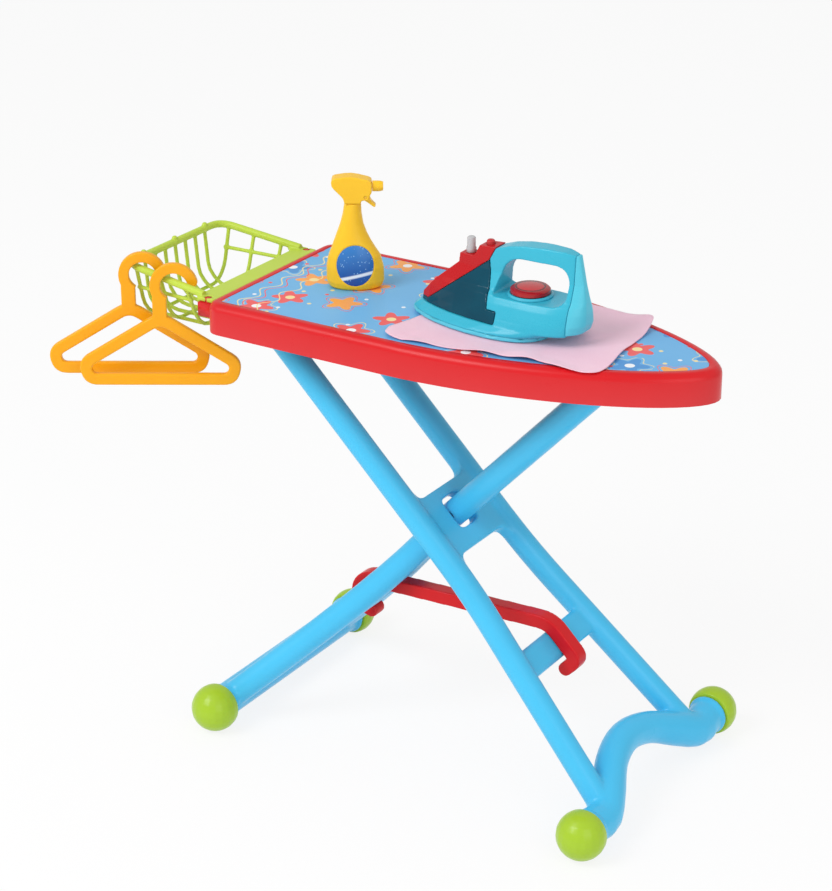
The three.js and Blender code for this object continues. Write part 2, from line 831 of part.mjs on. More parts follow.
function buildFrontLeg() {
  const leg = new THREE.Group();
  leg.position.set(topPinInset, 0, hingeZ);
  leg.rotation.y = Math.PI - frontDown;
  playSet.add(leg);

  const parts = [new THREE.SphereGeometry(trunkRadius, 16, 8).rotateX(Math.PI / 2)];
  parts.push(rod([vec(0, 0, 0), vec(splitStart + 30, 0, 0)], trunkRadius, 16));
  const footHalf = frontFootSpacing / 2;
  const prongHalf = footHalf - ballMouth - collarLength - 6;
  for (const side of [-1, 1]) {
    const line = [];
    for (let i = 0; i <= 10; i += 1) {
      const share = i / 10;
      const along = splitStart + share * (frontLength - splitStart);
      const sag = prongSag * Math.sin(Math.PI * share ** 0.7);
      line.push(vec(along, side * prongHalf * share ** prongCurve, sag));
    }
    parts.push(rod(line, trunkRadius, 16));
  }
  const stop = footHalf - ballMouth - seatGap;
  parts.push(drumY(frontBarRadius, -stop, stop, frontLength, 0, 16));
  parts.push(...barEnds(frontLength, frontFootSpacing));
  const rodShare = (latchRodAlong - splitStart) / (frontLength - splitStart);
  const rodHalf = prongHalf * rodShare ** prongCurve;
  parts.push(drumY(latchRodRadius, -rodHalf, rodHalf, latchRodAlong, latchRodOffset, 20));

  let solid = join(...parts);
  const crossBore = drumY(pinRadius + turnGap, -trunkRadius - 5, trunkRadius + 5, frontToCross, 0);
  const topBore = drumY(pinRadius + seatGap, -trunkRadius - 5, trunkRadius + 5, 0, 0);
  solid = cut(solid, crossBore, topBore);
  piece('front_leg', solid, blue, 0.4, 0, leg);
  const pinHalf = trackSpacing / 2 + trackPlate + 4;
  piece('top_slide_pin', drumY(pinRadius, -pinHalf, pinHalf, 0, 0), steel, 0.35, 1, leg);

  buildFoot('front_foot_near', frontFootX, -footHalf);
  buildFoot('front_foot_far', frontFootX, footHalf);
}

function buildSpreader() {
  const y0 = -spreaderWidth / 2;
  const y1 = spreaderWidth / 2;
  const clip = new THREE.Shape();
  const startAngle = THREE.MathUtils.degToRad(80);
  const endAngle = THREE.MathUtils.degToRad(360 - clipOpening);
  const inner = latchRodRadius + clipClearance;
  clip.absarc(latchX, latchZ, clipOuterRadius, startAngle, endAngle, false);
  clip.absarc(latchX, latchZ, inner, endAngle, startAngle, true);
  clip.closePath();

  const downX = Math.cos(rearDown);
  const downZ = -Math.sin(rearDown);
  // A point given along the rear frame and out from its plane
  const onFrame = (along, out) => [
    hingeInset + along * downX - out * downZ,
    hingeZ + along * downZ + out * downX,
  ];
  const half = hookThickness / 2;
  const out = crossPlateThickness / 2 + hookFaceGap + half;
  const toe = crossPlateStart + crossPlateLength + hookEdgeGap + half;
  const bendZ = latchZ + barFrontRise;
  const bendAlong = (hingeZ - bendZ + out * downX) / -downZ;
  const bar = bandShape([
    [latchX, latchZ + barRise],
    onFrame(bendAlong, out),
    onFrame(toe, out),
    onFrame(toe, half - hookReach),
  ], hookThickness, 15);
  const clipMiddle = (inner + clipOuterRadius) / 2;
  const clipEndX = latchX + clipMiddle * Math.cos(endAngle);
  const clipEndZ = latchZ + clipMiddle * Math.sin(endAngle);
  const clipEnd = drumY((clipOuterRadius - inner) / 2, y0, y1, clipEndX, clipEndZ);
  const spreader = join(plateXZ(clip, y0, y1, 0, 20), clipEnd, plateXZ(bar, y0, y1));
  const rodRoom = drumY(inner, y0 - 1, y1 + 1, latchX, latchZ, 32);
  piece('spreader_bar', cut(spreader, rodRoom), red, 0.45);
}

const flangeBottom = armTop + seatGap;
const flangeTop = flangeBottom + basketFlangeThickness;
const rimStart = vec(-basketFlangeWidth + 6, basketFlangeHalf - 7, flangeTop + 0.7);
const rimOuterZ = rimStart.z + basketRimRise;

// Height and half width of the basket's side rim at a place along x
function rimAt(x) {
  const share = (rimStart.x - x) / (rimStart.x + basketReach);
  return { z: rimStart.z + share * basketRimRise, y: rimStart.y + share * (basketRimHalf - rimStart.y) };
}

function buildBasket() {
  const innerEdge = -basketStandoff;
  const outerEdge = -basketStandoff - basketFlangeWidth;
  const floorZ = flangeBottom - basketFloorDrop;
  const corners = [
    [innerEdge, -basketFlangeHalf],
    [innerEdge, basketFlangeHalf],
    [outerEdge, basketFlangeHalf],
    [outerEdge, -basketFlangeHalf],
  ];
  const parts = [plateXY(roundShape(corners, 5), flangeBottom, flangeTop, 3)];
  for (const side of [-1, 1]) {
    const edge = side * basketFlangeHalf;
    const gusset = shapeOf([
      [outerEdge + 3, edge - side * 8],
      [outerEdge + 3, edge - side * 22],
      [outerEdge - 10, edge - side * 9],
    ]);
    parts.push(plateXY(gusset, flangeBottom + 1.2, flangeTop));
  }
  const outerY = basketRimHalf;
  const rimLine = [
    vec(rimStart.x, -rimStart.y, rimStart.z),
    vec(-basketReach, -outerY, rimOuterZ),
    vec(-basketReach, outerY, rimOuterZ),
    vec(rimStart.x, rimStart.y, rimStart.z),
  ];
  parts.push(rod(rounded(rimLine, basketCorner, 6), basketRimRadius, 10));

  const bendZ = floorZ + 16;
  const flangeMid = (innerEdge + outerEdge) / 2;
  for (let i = -3; i <= 3; i += 1) {
    const y = i * basketRodPitch;
    const line = [
      vec(-basketReach, y, rimOuterZ),
      vec(-basketReach + 5, y, bendZ),
      vec(-basketReach + 22, y, floorZ),
      vec(flangeMid - 26, y, floorZ),
      vec(flangeMid - 8, y, bendZ),
      vec(flangeMid - 3, y, flangeBottom + 2),
    ];
    parts.push(rod(rounded(line, 9, 2), basketBarRadius, 6));
  }
  for (const x of [-basketBarOuter, -basketBarMiddle, -basketBarInner]) {
    const rim = rimAt(x);
    const line = [
      vec(x, -rim.y, rim.z),
      vec(x, -basketFloorHalf - 7, bendZ),
      vec(x, -basketFloorHalf + 8, floorZ),
      vec(x, basketFloorHalf - 8, floorZ),
      vec(x, basketFloorHalf + 7, bendZ),
      vec(x, rim.y, rim.z),
    ];
    parts.push(rod(rounded(line, 9, 2), basketBarRadius, 6));
  }
  const midZ = (rimOuterZ + bendZ) / 2 - 3;
  for (const side of [-1, 1]) {
    const line = [];
    for (const x of [-basketBarOuter - basketRailSpare, basketRailSpare - basketBarInner]) {
      const rim = rimAt(x);
      const share = (rim.z - midZ) / (rim.z - bendZ);
      line.push(vec(x, side * (rim.y + share * (basketFloorHalf + 7 - rim.y)), midZ));
    }
    parts.push(rod(line, basketBarRadius, 6));
  }
  for (const y of [-basketNubSpacing, 0, basketNubSpacing]) {
    const nub = new THREE.SphereGeometry(basketNubRadius, 8, 6);
    parts.push(nub.translate(-basketReach, y, rimOuterZ + basketRimRadius));
  }
  let basket = join(...parts);
  for (const side of [-1, 1]) {
    const y = (side * armSpacing) / 2;
    basket = cut(basket, drumZ(pegRadius + turnGap, flangeBottom - 5, flangeTop + 15, -pegSetback, y));
  }
  piece('basket', basket, basketGreen, 0.4);
}

function buildHanger(name, x, hang) {
  const rim = rimAt(x);
  const hanger = new THREE.Group();
  hanger.position.set(x, -rim.y, rim.z - hang);
  hanger.rotation.z = THREE.MathUtils.degToRad(viewTurn);
  playSet.add(hanger);

  // Drawn with the middle of the hook at the origin
  const apexX = -hookSide;
  const apexZ = -hookRise;
  const corners = [
    [apexX, apexZ + hangerApex],
    [apexX - hangerLeft, apexZ - hangerDepth + hangerEndRise],
    [apexX - hangerLeft + hangerEndLean, apexZ - hangerDepth],
    [apexX + hangerRight - hangerEndLean, apexZ - hangerDepth],
    [apexX + hangerRight, apexZ - hangerDepth + hangerEndRise],
  ];
  const outline = roundShape(corners, hangerCorner);
  outline.holes.push(roundShape(insetPolygon(corners, hangerBar), hangerCorner / 2));
  const hook = new THREE.Shape();
  const tip = THREE.MathUtils.degToRad(hookTipAngle);
  const neck = THREE.MathUtils.degToRad(hookNeckAngle);
  hook.absarc(0, 0, hookInnerRadius + hookWidth, tip, neck, false);
  hook.absarc(0, 0, hookInnerRadius, neck, tip, true);
  hook.closePath();
  const middle = hookInnerRadius + hookWidth / 2;
  const tipX = middle * Math.cos(tip);
  const tipZ = middle * Math.sin(tip);
  const rounder = drumY(hookWidth / 2, 0, hangerThickness, tipX, tipZ, 12);
  const stemTop = -hookInnerRadius - 1;
  const stem = block(apexX - 8.5, apexX + 7.5, 0, hangerThickness, apexZ - 4, stemTop + 4);
  const solid = join(
    plateXZ(outline, 0, hangerThickness, 1.2, 6),
    plateXZ(hook, 0, hangerThickness, 0, 18),
    rounder,
    stem,
  );
  const mesh = piece(name, solid, amber, 0.45, 0, hanger);
  mesh.position.y = -hangerThickness / 2;
}

// Half width, half depth and lean to the back of the bottle at heights above its base
const bottleForm = [
  [0, 26, 15, 0],
  [2, 29.5, 17, 0],
  [8, 32.2, 18.7, 0],
  [24, 32, 19, 0.4],
  [37, 29.3, 18, 0.8],
  [46, 24.6, 16, 2],
  [54, 20.8, 14, 3],
  [64, 16.6, 12.3, 3.6],
  [74, 13, 11, 3.6],
  [86, 10.5, 9.8, 3],
  [bottleHeight, 9.3, 9, neckLean],
];

function bottleSkin(inset, bottom, top) {
  return loft(bottleForm.map(([height, wide, deep, lean], row) => {
    const last = row === bottleForm.length - 1;
    const z = row === 0 ? bottom : last ? top : height;
    const ring = [];
    for (let i = 0; i < 24; i += 1) {
      const angle = (2 * Math.PI * i) / 24;
      ring.push(vec((wide - inset) * Math.cos(angle) - lean, (deep - inset) * Math.sin(angle), z));
    }
    return ring;
  }));
}

function buildBottle() {
  const bottle = new THREE.Group();
  bottle.position.set(bottleX, bottleY, sheetTop + seatGap);
  bottle.rotation.z = THREE.MathUtils.degToRad(viewTurn);
  playSet.add(bottle);

  const labelShape = new THREE.Shape();
  labelShape.absellipse(0, labelCentre, labelHalfWidth, labelHalfHeight, 0, 2 * Math.PI, false, 0);
  const roomShape = new THREE.Shape();
  const roomWide = labelHalfWidth + seatGap;
  roomShape.absellipse(0, labelCentre, roomWide, labelHalfHeight + seatGap, 0, 2 * Math.PI, false, 0);
  const labelStamp = plateXZ(labelShape, -40, 0, 0, 24);
  const roomStamp = plateXZ(roomShape, -40, 0, 0, 24);
  const labelBack = labelSink + labelThickness;
  const roomBack = labelBack + seatGap;
  const room = cut(roomStamp, bottleSkin(roomBack, -1, bottleHeight + 1));
  const inside = bottleSkin(roomBack + bottleWall, bottleWall, bottleHeight + 2);
  piece('bottle_body', cut(bottleSkin(0, 0, bottleHeight), room, inside), yellow, 0.35, 0, bottle);
  const label = cut(common(labelStamp, bottleSkin(labelSink, -1, bottleHeight + 1)),
    bottleSkin(labelBack, -2, bottleHeight + 2));
  piece('bottle_label', label, white, 0.5, 0, bottle);

  const headBase = bottleHeight + seatGap;
  const headHalf = headWidth / 2;
  const head = roundShape([
    [-neckLean - 9, headBase],
    [-neckLean - 10, headBase + 6],
    [-26, triggerHeight + 12.5],
    [-25.5, triggerHeight + 21],
    [-4, triggerHeight + 24.3],
    [headFront, triggerHeight + 18.6],
    [headFront, triggerHeight + 5.2],
    [triggerAlong + 4.4, triggerHeight + 2],
    [triggerAlong + 4, triggerHeight - 3.2],
    [10 - neckLean, headBase + 3.6],
    [9 - neckLean, headBase],
  ], [0.8, 4, 4, 4, 8, 4, 2, 1.6, 2, 1.4, 0.8]);
  const slotHalf = triggerWidth / 2 + turnGap;
  const slotBottom = triggerHeight - 5;
  const slotTop = triggerHeight + 5.5;
  const slot = block(triggerAlong - 4.6, headFront + 3, -slotHalf, slotHalf, slotBottom, slotTop);
  const pinRoom = triggerPinRadius + seatGap;
  const pinBore = drumY(pinRoom, -headHalf - 1, headHalf + 1, triggerAlong, triggerHeight, 12);
  const headSolid = cut(plateXZ(head, -headHalf, headHalf, 1, 2), slot, pinBore);
  piece('bottle_head', headSolid, yellow, 0.35, 0, bottle);

  const nozzle = turned([
    [0, 0],
    [nozzleRadius, 0],
    [nozzleRadius, nozzleLength - 4],
    [nozzleRadius - 1, nozzleLength],
    [nozzleBore, nozzleLength],
    [nozzleBore, nozzleLength - 4],
    [0, nozzleLength - 4],
  ], 20);
  const nozzlePlace = headFront + seatGap;
  nozzle.rotateY(Math.PI / 2).translate(nozzlePlace, 0, triggerHeight + nozzleRise);
  piece('bottle_nozzle', nozzle, yellow, 0.35, 0, bottle);

  const lever = roundShape([
    [triggerAlong - 4, triggerHeight + 3.5],
    [triggerAlong + 4.5, triggerHeight + 3.5],
    [triggerAlong + 5, triggerHeight - 4],
    [triggerAlong + 11.5, triggerHeight - 10.5],
    [triggerAlong + 9.5, triggerHeight - 12.5],
    [triggerAlong + 1, triggerHeight - 6],
    [triggerAlong - 4, triggerHeight - 3.2],
  ], 3);
  const leverBore = drumY(triggerPinRadius + turnGap, -10, 10, triggerAlong, triggerHeight, 12);
  const leverSolid = cut(plateXZ(lever, -triggerWidth / 2, triggerWidth / 2, 0, 3), leverBore);
  piece('bottle_trigger', leverSolid, yellow, 0.35, 0, bottle);
  const pinHalf = headHalf - 1;
  const pin = drumY(triggerPinRadius, -pinHalf, pinHalf, triggerAlong, triggerHeight, 12);
  piece('trigger_pin', pin, yellow, 0.35, 0, bottle);
}

// Plan of the iron, nose at the origin, for a given length and half width
function ironPlan(length, halfWidth) {
  const lengthShare = length / soleLength;
  const widthShare = halfWidth / soleHalfWidth;
  const shape = new THREE.Shape();
  shape.moveTo(0, 0);
  shape.bezierCurveTo(1, -16, 55, -soleHalfWidth, soleWidest, -soleHalfWidth);
  shape.bezierCurveTo(140, -soleHalfWidth, soleLength - 18, -38, soleLength - 9, -29);
  shape.quadraticCurveTo(soleLength - 1, -20, soleLength, -9);
  shape.lineTo(soleLength, 9);
  shape.quadraticCurveTo(soleLength - 1, 20, soleLength - 9, 29);
  shape.bezierCurveTo(soleLength - 18, 38, 140, soleHalfWidth, soleWidest, soleHalfWidth);
  shape.bezierCurveTo(55, soleHalfWidth, 1, 16, 0, 0);
  const points = shape.getPoints(7).slice(0, -1);
  return points.map((point) => [point.x * lengthShare, point.y * widthShare]);
}

function ironLoft(rows) {
  return loft(rows.map(([z, length, halfWidth, nose]) => {
    const ring = ironPlan(length - nose, halfWidth);
    return ring.map(([x, y]) => vec(x + nose, y, z));
  }));
}

function buildIron() {
  const rearCoverStart = bodyLength - rearCoverLength;
  const gripHoleEnd = rearCoverStart - gripRearWall;
  const sweep = soleHalfWidth + 16;
  const iron = new THREE.Group();
  const soleZ = boardTop + seatGap + clothThickness + seatGap;
  iron.position.set(ironX, ironY, soleZ);
  playSet.add(iron);

  const sole = ironLoft([
    [0, soleLength - 2, soleHalfWidth - 1.5, 1],
    [1.5, soleLength, soleHalfWidth, 0],
    [soleThickness, soleLength, soleHalfWidth, 0],
  ]);
  piece('iron_sole_plate', sole, paleTurquoise, 0.3, 0, iron);

  const upper = ironLoft([
    [tankSeat - 5, bodyLength - 2, soleHalfWidth - 5, 8],
    [tankSeat, bodyLength + 5, soleHalfWidth - 6.2, 10],
    [tankSeat + 9, bodyLength + 8, soleHalfWidth - 9, 11],
    [tankSeat + 21, bodyLength + 8, soleHalfWidth - 13.5, 11.5],
    [tankSeat + 28.5, bodyLength + 7, soleHalfWidth - 17.5, 12],
    [tankSeat + 33, bodyLength + 6.5, soleHalfWidth - 23, 12.2],
    [tankSeat + 51, bodyLength + 3, soleHalfWidth - 31, 13.5],
    [tankSeat + 81, bodyLength - 3, soleHalfWidth - 32.5, 16],
    [tankSeat + 97, bodyLength - 6, soleHalfWidth - 34, 20],
  ]);
  const skirt = ironLoft([
    [soleThickness + seatGap, soleLength + 2, soleHalfWidth + 0.5, 0],
    [soleThickness + 3, soleLength + 12, soleHalfWidth - 0.8, 2],
    [tankSeat, bodyLength - 4, soleHalfWidth - 5.5, 9],
    [skirtTop, bodyLength + 6, soleHalfWidth - 8, 10],
  ]);
  const top = handleFrontTop;
  const mainProfile = shapeOf([
    [tankStep, tankSeat - 2],
    [rearCoverStart, tankSeat - 2],
    [rearCoverStart, top + 7],
    [rearCoverStart - 12, top + 9.5],
    [rearCoverStart - 35, top + 10],
    [dialAlong - 4, top + 8.2],
    [handleFront + 15, top + 5],
    [handleFront, top],
    [tankBackTop, tankTop + 1],
    [tankBackLow, tankStepTop + seatGap],
    [tankStep, tankStepTop + seatGap],
  ]);
  const gripCorners = [
    [gripHoleStart, gripHoleBottom],
    [gripHoleEnd, gripHoleBottom],
    [gripHoleEnd, gripHoleTop],
    [gripHoleStart + 12, gripHoleTop],
  ];
  const bezelRoom = gripHoleEnd - dialAlong - dialBezelRadius - seatGap;
  mainProfile.holes.push(roundShape(gripCorners, [6, Math.min(14, bezelRoom), 20, 20]));
  const mainBlock = common(plateXZ(mainProfile, -sweep, sweep), upper);
  const hollow = block(tankStep + 5, rearCoverStart - 6, -20, 20, skirtTop + 2, gripHoleBottom - 4);
  const rearWaste = block(rearCoverStart, bodyLength + 30, -70, 70, skirtTop - 6.4, 200);
  const tankWaste = block(-5, tankStep, -70, 70, tankSeat, skirtTop + 5);
  const stemHole = drumZ(dialStemRadius + turnGap, skirtTop, gripHoleBottom + 2, dialAlong, 0);
  const shell = cut(join(cut(skirt, rearWaste, tankWaste), mainBlock), hollow, stemHole);
  const halfGap = seatGap / 2;
  const nearHalf = cut(shell, block(-20, bodyLength + 20, -halfGap, 80, -10, 200));
  const farHalf = cut(shell, block(-20, bodyLength + 20, -80, halfGap, -10, 200));
  piece('iron_shell_near', nearHalf, turquoise, 0.35, 0, iron);
  piece('iron_shell_far', farHalf, turquoise, 0.35, 0, iron);

  const rearProfile = roundShape([
    [rearCoverStart + seatGap, skirtTop - 6],
    [bodyLength + 14, skirtTop - 6],
    [bodyLength + 14, top + 6],
    [rearCoverStart + seatGap, top + 7],
  ], 0.5);
  piece('iron_rear_cover', common(plateXZ(rearProfile, -sweep, sweep), upper), paleTurquoise, 0.35, 0, iron);

  const tankFloor = tankSeat + seatGap;
  const tankEnd = tankBackTop - seatGap - 0.05;
  const tankLowEnd = tankBackLow - seatGap - 0.05;
  const tankSide = shapeOf([
    [tankNose, tankFloor],
    [tankStep - seatGap, tankFloor],
    [tankStep - seatGap, tankStepTop],
    [tankLowEnd, tankStepTop],
    [tankEnd, tankTop],
    [tankNose + tankLip, tankFloor + tankLipHeight],
    [tankNose, tankFloor + tankLipHeight],
  ]);
  const tank = plateXZ(tankSide, -sweep, sweep);
  const tankRoom = plateXZ(shapeOf([
    [tankNose + 30, tankFloor + 3],
    [tankLowEnd - 4, tankFloor + 3],
    [tankLowEnd + 3, tankStepTop + 4],
    [tankEnd + 5, tankTop - 4],
    [tankEnd - 8, tankTop - 13],
  ]), -8, 8);
  piece('iron_water_tank', cut(common(tank, upper), tankRoom), teal, 0.15, 0, iron);

  const lipEnd = tankNose + tankLip;
  const lipTop = tankFloor + tankLipHeight;
  const rise = (tankTop - lipTop) / (tankEnd - lipEnd);
  const lean = seatGap * Math.hypot(1, rise) + 0.05;
  const coverLow = (x) => lipTop + (x - lipEnd) * rise + lean;
  const backLean = (handleFront - tankBackTop) / (top - tankTop - 1);
  const coverBack = (z) => tankBackTop + (z - tankTop - 1) * backLean - 0.45;
  const backLow = coverLow(tankBackTop - 0.5);
  const cover = shapeOf([
    [tankNose + 1, lipTop + lean],
    [lipEnd, lipTop + lean],
    [tankBackTop - 0.5, backLow],
    [coverBack(tankTop + 2), tankTop + 2],
    [coverBack(top + 1), top + 1],
    [steamAlong - 8, top],
    [steamAlong - 12, top - 8],
    [knobAlong + 9, knobSeat],
    [knobAlong - 9, knobSeat],
    [knobAlong - 10, knobSeat - 10],
    [tankNose + 22, lipTop + 25],
    [tankNose + 1, lipTop + 3.5],
  ]);
  const coverBody = common(plateXZ(cover, -sweep, sweep), upper);
  const knobHole = drumZ(knobStemRadius + turnGap, knobSeat - 7, knobSeat + 2, knobAlong, 0, 16);
  const steamWell = drumZ(steamRadius + turnGap, steamWellBottom, top + 20, steamAlong, 0, 20);
  piece('iron_nose_cover', cut(coverBody, knobHole, steamWell), red, 0.4, 0, iron);

  const deck = gripHoleBottom + seatGap;
  const bezel = turned([
    [dialRadius + turnGap + 0.1, deck],
    [dialBezelRadius, deck],
    [dialBezelRadius, deck + dialBezelHeight - 1.5],
    [dialBezelRadius - 1.5, deck + dialBezelHeight],
    [dialRadius + turnGap + 0.1, deck + dialBezelHeight],
    [dialRadius + turnGap + 0.1, deck],
  ], 36);
  piece('iron_dial_bezel', bezel.translate(dialAlong, 0, 0), turquoise, 0.35, 0, iron);

  const dialUnder = deck + dialTravel + 0.4;
  const dialTop = dialUnder + dialHeight;
  const springTop = dialTop - 4;
  const dial = turned([
    [0, deck - 9],
    [dialStemRadius, deck - 9],
    [dialStemRadius, springTop],
    [dialStemRadius + 7, springTop],
    [dialStemRadius + 7, dialUnder],
    [dialRadius, dialUnder],
    [dialRadius, dialTop - 3],
    [dialRadius - 2.5, dialTop - 0.8],
    [0, dialTop],
  ], 36);
  piece('iron_dial', dial.translate(dialAlong, 0, 0), darkRed, 0.2, 0, iron);
  const dialSpring = helix(dialStemRadius + 3.2, 0.6, deck, springTop - seatGap, 2, dialAlong, 0);
  piece('dial_spring', dialSpring, steel, 0.3, 1, iron);

  const knob = turned([
    [0, knobSeat - 6],
    [knobStemRadius, knobSeat - 6],
    [knobStemRadius, knobSeat + seatGap],
    [knobRadius, knobSeat + seatGap],
    [knobRadius, knobSeat + 5],
    [knobRadius - 0.8, knobSeat + 6],
    [knobRadius - 0.8, knobSeat + knobHeight - 1],
    [knobRadius - 1.8, knobSeat + knobHeight],
    [0, knobSeat + knobHeight],
  ], 16);
  piece('spray_knob', knob.translate(knobAlong, 0, 0), silver, 0.3, 0.4, iron);

  const buttonBottom = steamWellBottom + steamTravel + 2.5;
  const button = turned([
    [0, buttonBottom],
    [steamRadius, buttonBottom],
    [steamRadius, top + 3.5],
    [steamRadius - 1.2, top + 5],
    [0, top + 5.4],
  ], 20);
  piece('steam_button', button.translate(steamAlong, 0, 0), red, 0.4, 0, iron);
  const steamSpring = helix(2.8, 0.55, steamWellBottom + seatGap, buttonBottom - seatGap, 2, steamAlong, 0);
  piece('steam_spring', steamSpring, steel, 0.3, 1, iron);
}

function buildCloth() {
  // Corners and edges as shares of the length from the rear and of the width from the near side
  const edge = [
    [0, 0.005],
    [0.23, 0],
    [0.55, 0.05],
    [0.75, 0.09],
    [0.893, 0.07],
    [1, 0.14],
    [0.975, 0.48],
    [0.942, 0.893],
    [0.893, 0.944],
    [0.617, 1],
    [0.317, 0.985],
    [0.053, 0.924],
    [0.02, 0.467],
  ];
  const corners = edge.map(([along, across]) => (
    vec(clothRear + along * clothLength, across * clothWidth - clothNear, 0)
  ));
  const line = new THREE.CatmullRomCurve3(corners, true).getPoints(52).slice(0, -1);
  const outline = new THREE.Shape(line.map((point) => new THREE.Vector2(point.x, point.y)));
  const clothZ = boardTop + seatGap;
  piece('pressing_cloth', plateXY(outline, clothZ, clothZ + clothThickness), pink, 0.95);
}

buildBoard();
buildHinge();
buildTracks();
buildScrews();
buildRearFrame();
buildFrontLeg();
buildSpreader();
buildBasket();
buildHanger('hanger_front', hangerFrontX, hangerFrontHang);
buildHanger('hanger_back', hangerBackX, hangerBackHang);
buildBottle();
buildIron();
buildCloth();

// The origin is moved to the middle of the set's footprint, on the floor
playSet.updateMatrixWorld(true);
const bounds = new THREE.Box3();
playSet.traverse((item) => {
  if (item.isMesh) {
    bounds.expandByObject(item, true);
  }
});
const middle = bounds.getCenter(vec(0, 0, 0));
playSet.position.set(-middle.x, -middle.y, -bounds.min.z);

const part = new THREE.Group();
part.name = 'toy_ironing_board';
part.add(playSet);
part.updateMatrixWorld(true);

export default part;
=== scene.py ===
import json
import math

import bmesh
import bpy
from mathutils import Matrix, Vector, noise


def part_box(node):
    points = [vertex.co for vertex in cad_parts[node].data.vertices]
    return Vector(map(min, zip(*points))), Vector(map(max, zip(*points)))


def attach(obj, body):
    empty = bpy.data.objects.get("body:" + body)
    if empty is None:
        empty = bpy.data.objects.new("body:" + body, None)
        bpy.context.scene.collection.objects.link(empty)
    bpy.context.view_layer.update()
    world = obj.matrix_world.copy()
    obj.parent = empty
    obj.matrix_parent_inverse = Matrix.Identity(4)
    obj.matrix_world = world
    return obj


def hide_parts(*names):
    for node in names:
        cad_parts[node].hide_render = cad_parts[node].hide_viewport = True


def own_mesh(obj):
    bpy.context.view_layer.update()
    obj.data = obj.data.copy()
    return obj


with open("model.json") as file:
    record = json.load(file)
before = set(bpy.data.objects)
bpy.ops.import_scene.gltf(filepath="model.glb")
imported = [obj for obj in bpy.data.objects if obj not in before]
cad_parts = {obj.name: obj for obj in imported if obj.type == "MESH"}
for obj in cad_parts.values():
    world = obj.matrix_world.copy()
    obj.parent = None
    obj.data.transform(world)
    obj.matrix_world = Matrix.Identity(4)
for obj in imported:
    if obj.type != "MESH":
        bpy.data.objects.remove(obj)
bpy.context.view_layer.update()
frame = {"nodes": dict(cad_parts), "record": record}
NODES = frame["nodes"]
RECORD = frame["record"]
MM = 0.001
WHITE = (1.0, 1.0, 1.0, 1.0)

# The camera was fitted in the frame whose x = 0 is the board's rear edge; the hinge rod ties the two frames
HINGE_INSET = 37.0 * MM
rod_low, rod_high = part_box("hinge_rod")
SHIFT_X = (rod_low[0] + rod_high[0]) / 2.0 - HINGE_INSET
CAMERA_PLACE = (1559.88 * MM, -2159.16 * MM, 1462.38 * MM)
CAMERA_YAW = 0.56254
CAMERA_PITCH = 0.41119
CAMERA_FOCUS_PX = 2479.87
PHOTO_HEIGHT_PX = 891.0
SENSOR_HEIGHT_MM = 36.0

# Studio lamps: place, aim, width in metres, power in watts
LAMPS = {
    "key": ((-1.1, -2.4, 2.9), (0.0, 0.0, 0.4), 1.8, 62.0),
    "fill": ((2.6, -1.6, 1.6), (0.0, 0.0, 0.35), 2.0, 17.0),
}
WORLD_LIGHT = 0.66
WORLD_SEEN_EXTRA = 0.3
FLOOR_REACH = 30.0
FLOOR_DROP = 0.6 * MM
FLOOR_TONE = (0.95, 0.95, 0.95, 1.0)
FLOOR_SEEN_GLOW = 0.84

# Plastics by material slot: colour from 0 to 255, roughness, clear coat, light that enters the surface
PLASTICS = {
    "red_plastic": ((212, 6, 18), 0.30, 0.0, 0.0),
    "blue_plastic": ((72, 194, 240), 0.30, 0.1, 0.0),
    "lime_plastic": ((166, 202, 44), 0.30, 0.15, 0.0),
    "basket_plastic": ((190, 214, 74), 0.38, 0.0, 0.15),
    "hanger_plastic": ((246, 170, 8), 0.34, 0.0, 0.15),
    "bottle_plastic": ((252, 198, 40), 0.32, 0.0, 0.1),
    "iron_plastic": ((52, 180, 206), 0.28, 0.1, 0.0),
    # iron_pale_plastic is a paler copy of the iron's turquoise: a painted highlight for the iron's rounded
    # rear
    "iron_pale_plastic": ((84, 198, 220), 0.28, 0.0, 0.0),
    "iron_red_plastic": ((190, 14, 22), 0.26, 0.0, 0.0),
    "silver_plastic": ((188, 188, 190), 0.26, 0.0, 0.0),
}

# Mouldings with rounded edges: piece, its nodes, voxel in mm, smoothing passes, share of faces kept
MOULDINGS = [
    ("rear_frame_moulding", ["rear_frame"], 1.7, 14, 0.5),
    ("front_leg_moulding", ["front_leg"], 1.7, 14, 0.5),
    ("spreader_moulding", ["spreader_bar"], 1.1, 9, 0.6),
    ("basket_moulding", ["basket"], 0.85, 5, 0.7),
    ("hanger_front_moulding", ["hanger_front"], 0.9, 8, 0.6),
    ("hanger_back_moulding", ["hanger_back"], 0.9, 8, 0.6),
    ("rear_foot_near_cap", ["rear_foot_near"], 1.0, 14, 0.6),
    ("rear_foot_far_cap", ["rear_foot_far"], 1.0, 14, 0.6),
    ("front_foot_near_cap", ["front_foot_near"], 1.0, 14, 0.6),
    ("front_foot_far_cap", ["front_foot_far"], 1.0, 14, 0.6),
    ("iron_housing", ["iron_shell_near", "iron_shell_far"], 0.8, 12, 0.6),
    # The rear panel takes the pale turquoise, a painted highlight along the iron's rounded rear
    ("iron_rear_panel", ["iron_rear_cover"], 0.6, 6, 0.6),
    ("iron_tank_window", ["iron_water_tank"], 0.7, 4, 0.6),
    ("iron_nose_moulding", ["iron_nose_cover"], 0.6, 6, 0.6),
    ("bottle_shell", ["bottle_body"], 0.8, 10, 0.6),
    ("bottle_cap", ["bottle_head"], 0.5, 6, 0.6),
    ("bottle_spout", ["bottle_nozzle"], 0.4, 3, 0.6),
    ("bottle_lever", ["bottle_trigger"], 0.4, 4, 0.6),
]
SMOOTH_SHARE = 0.5

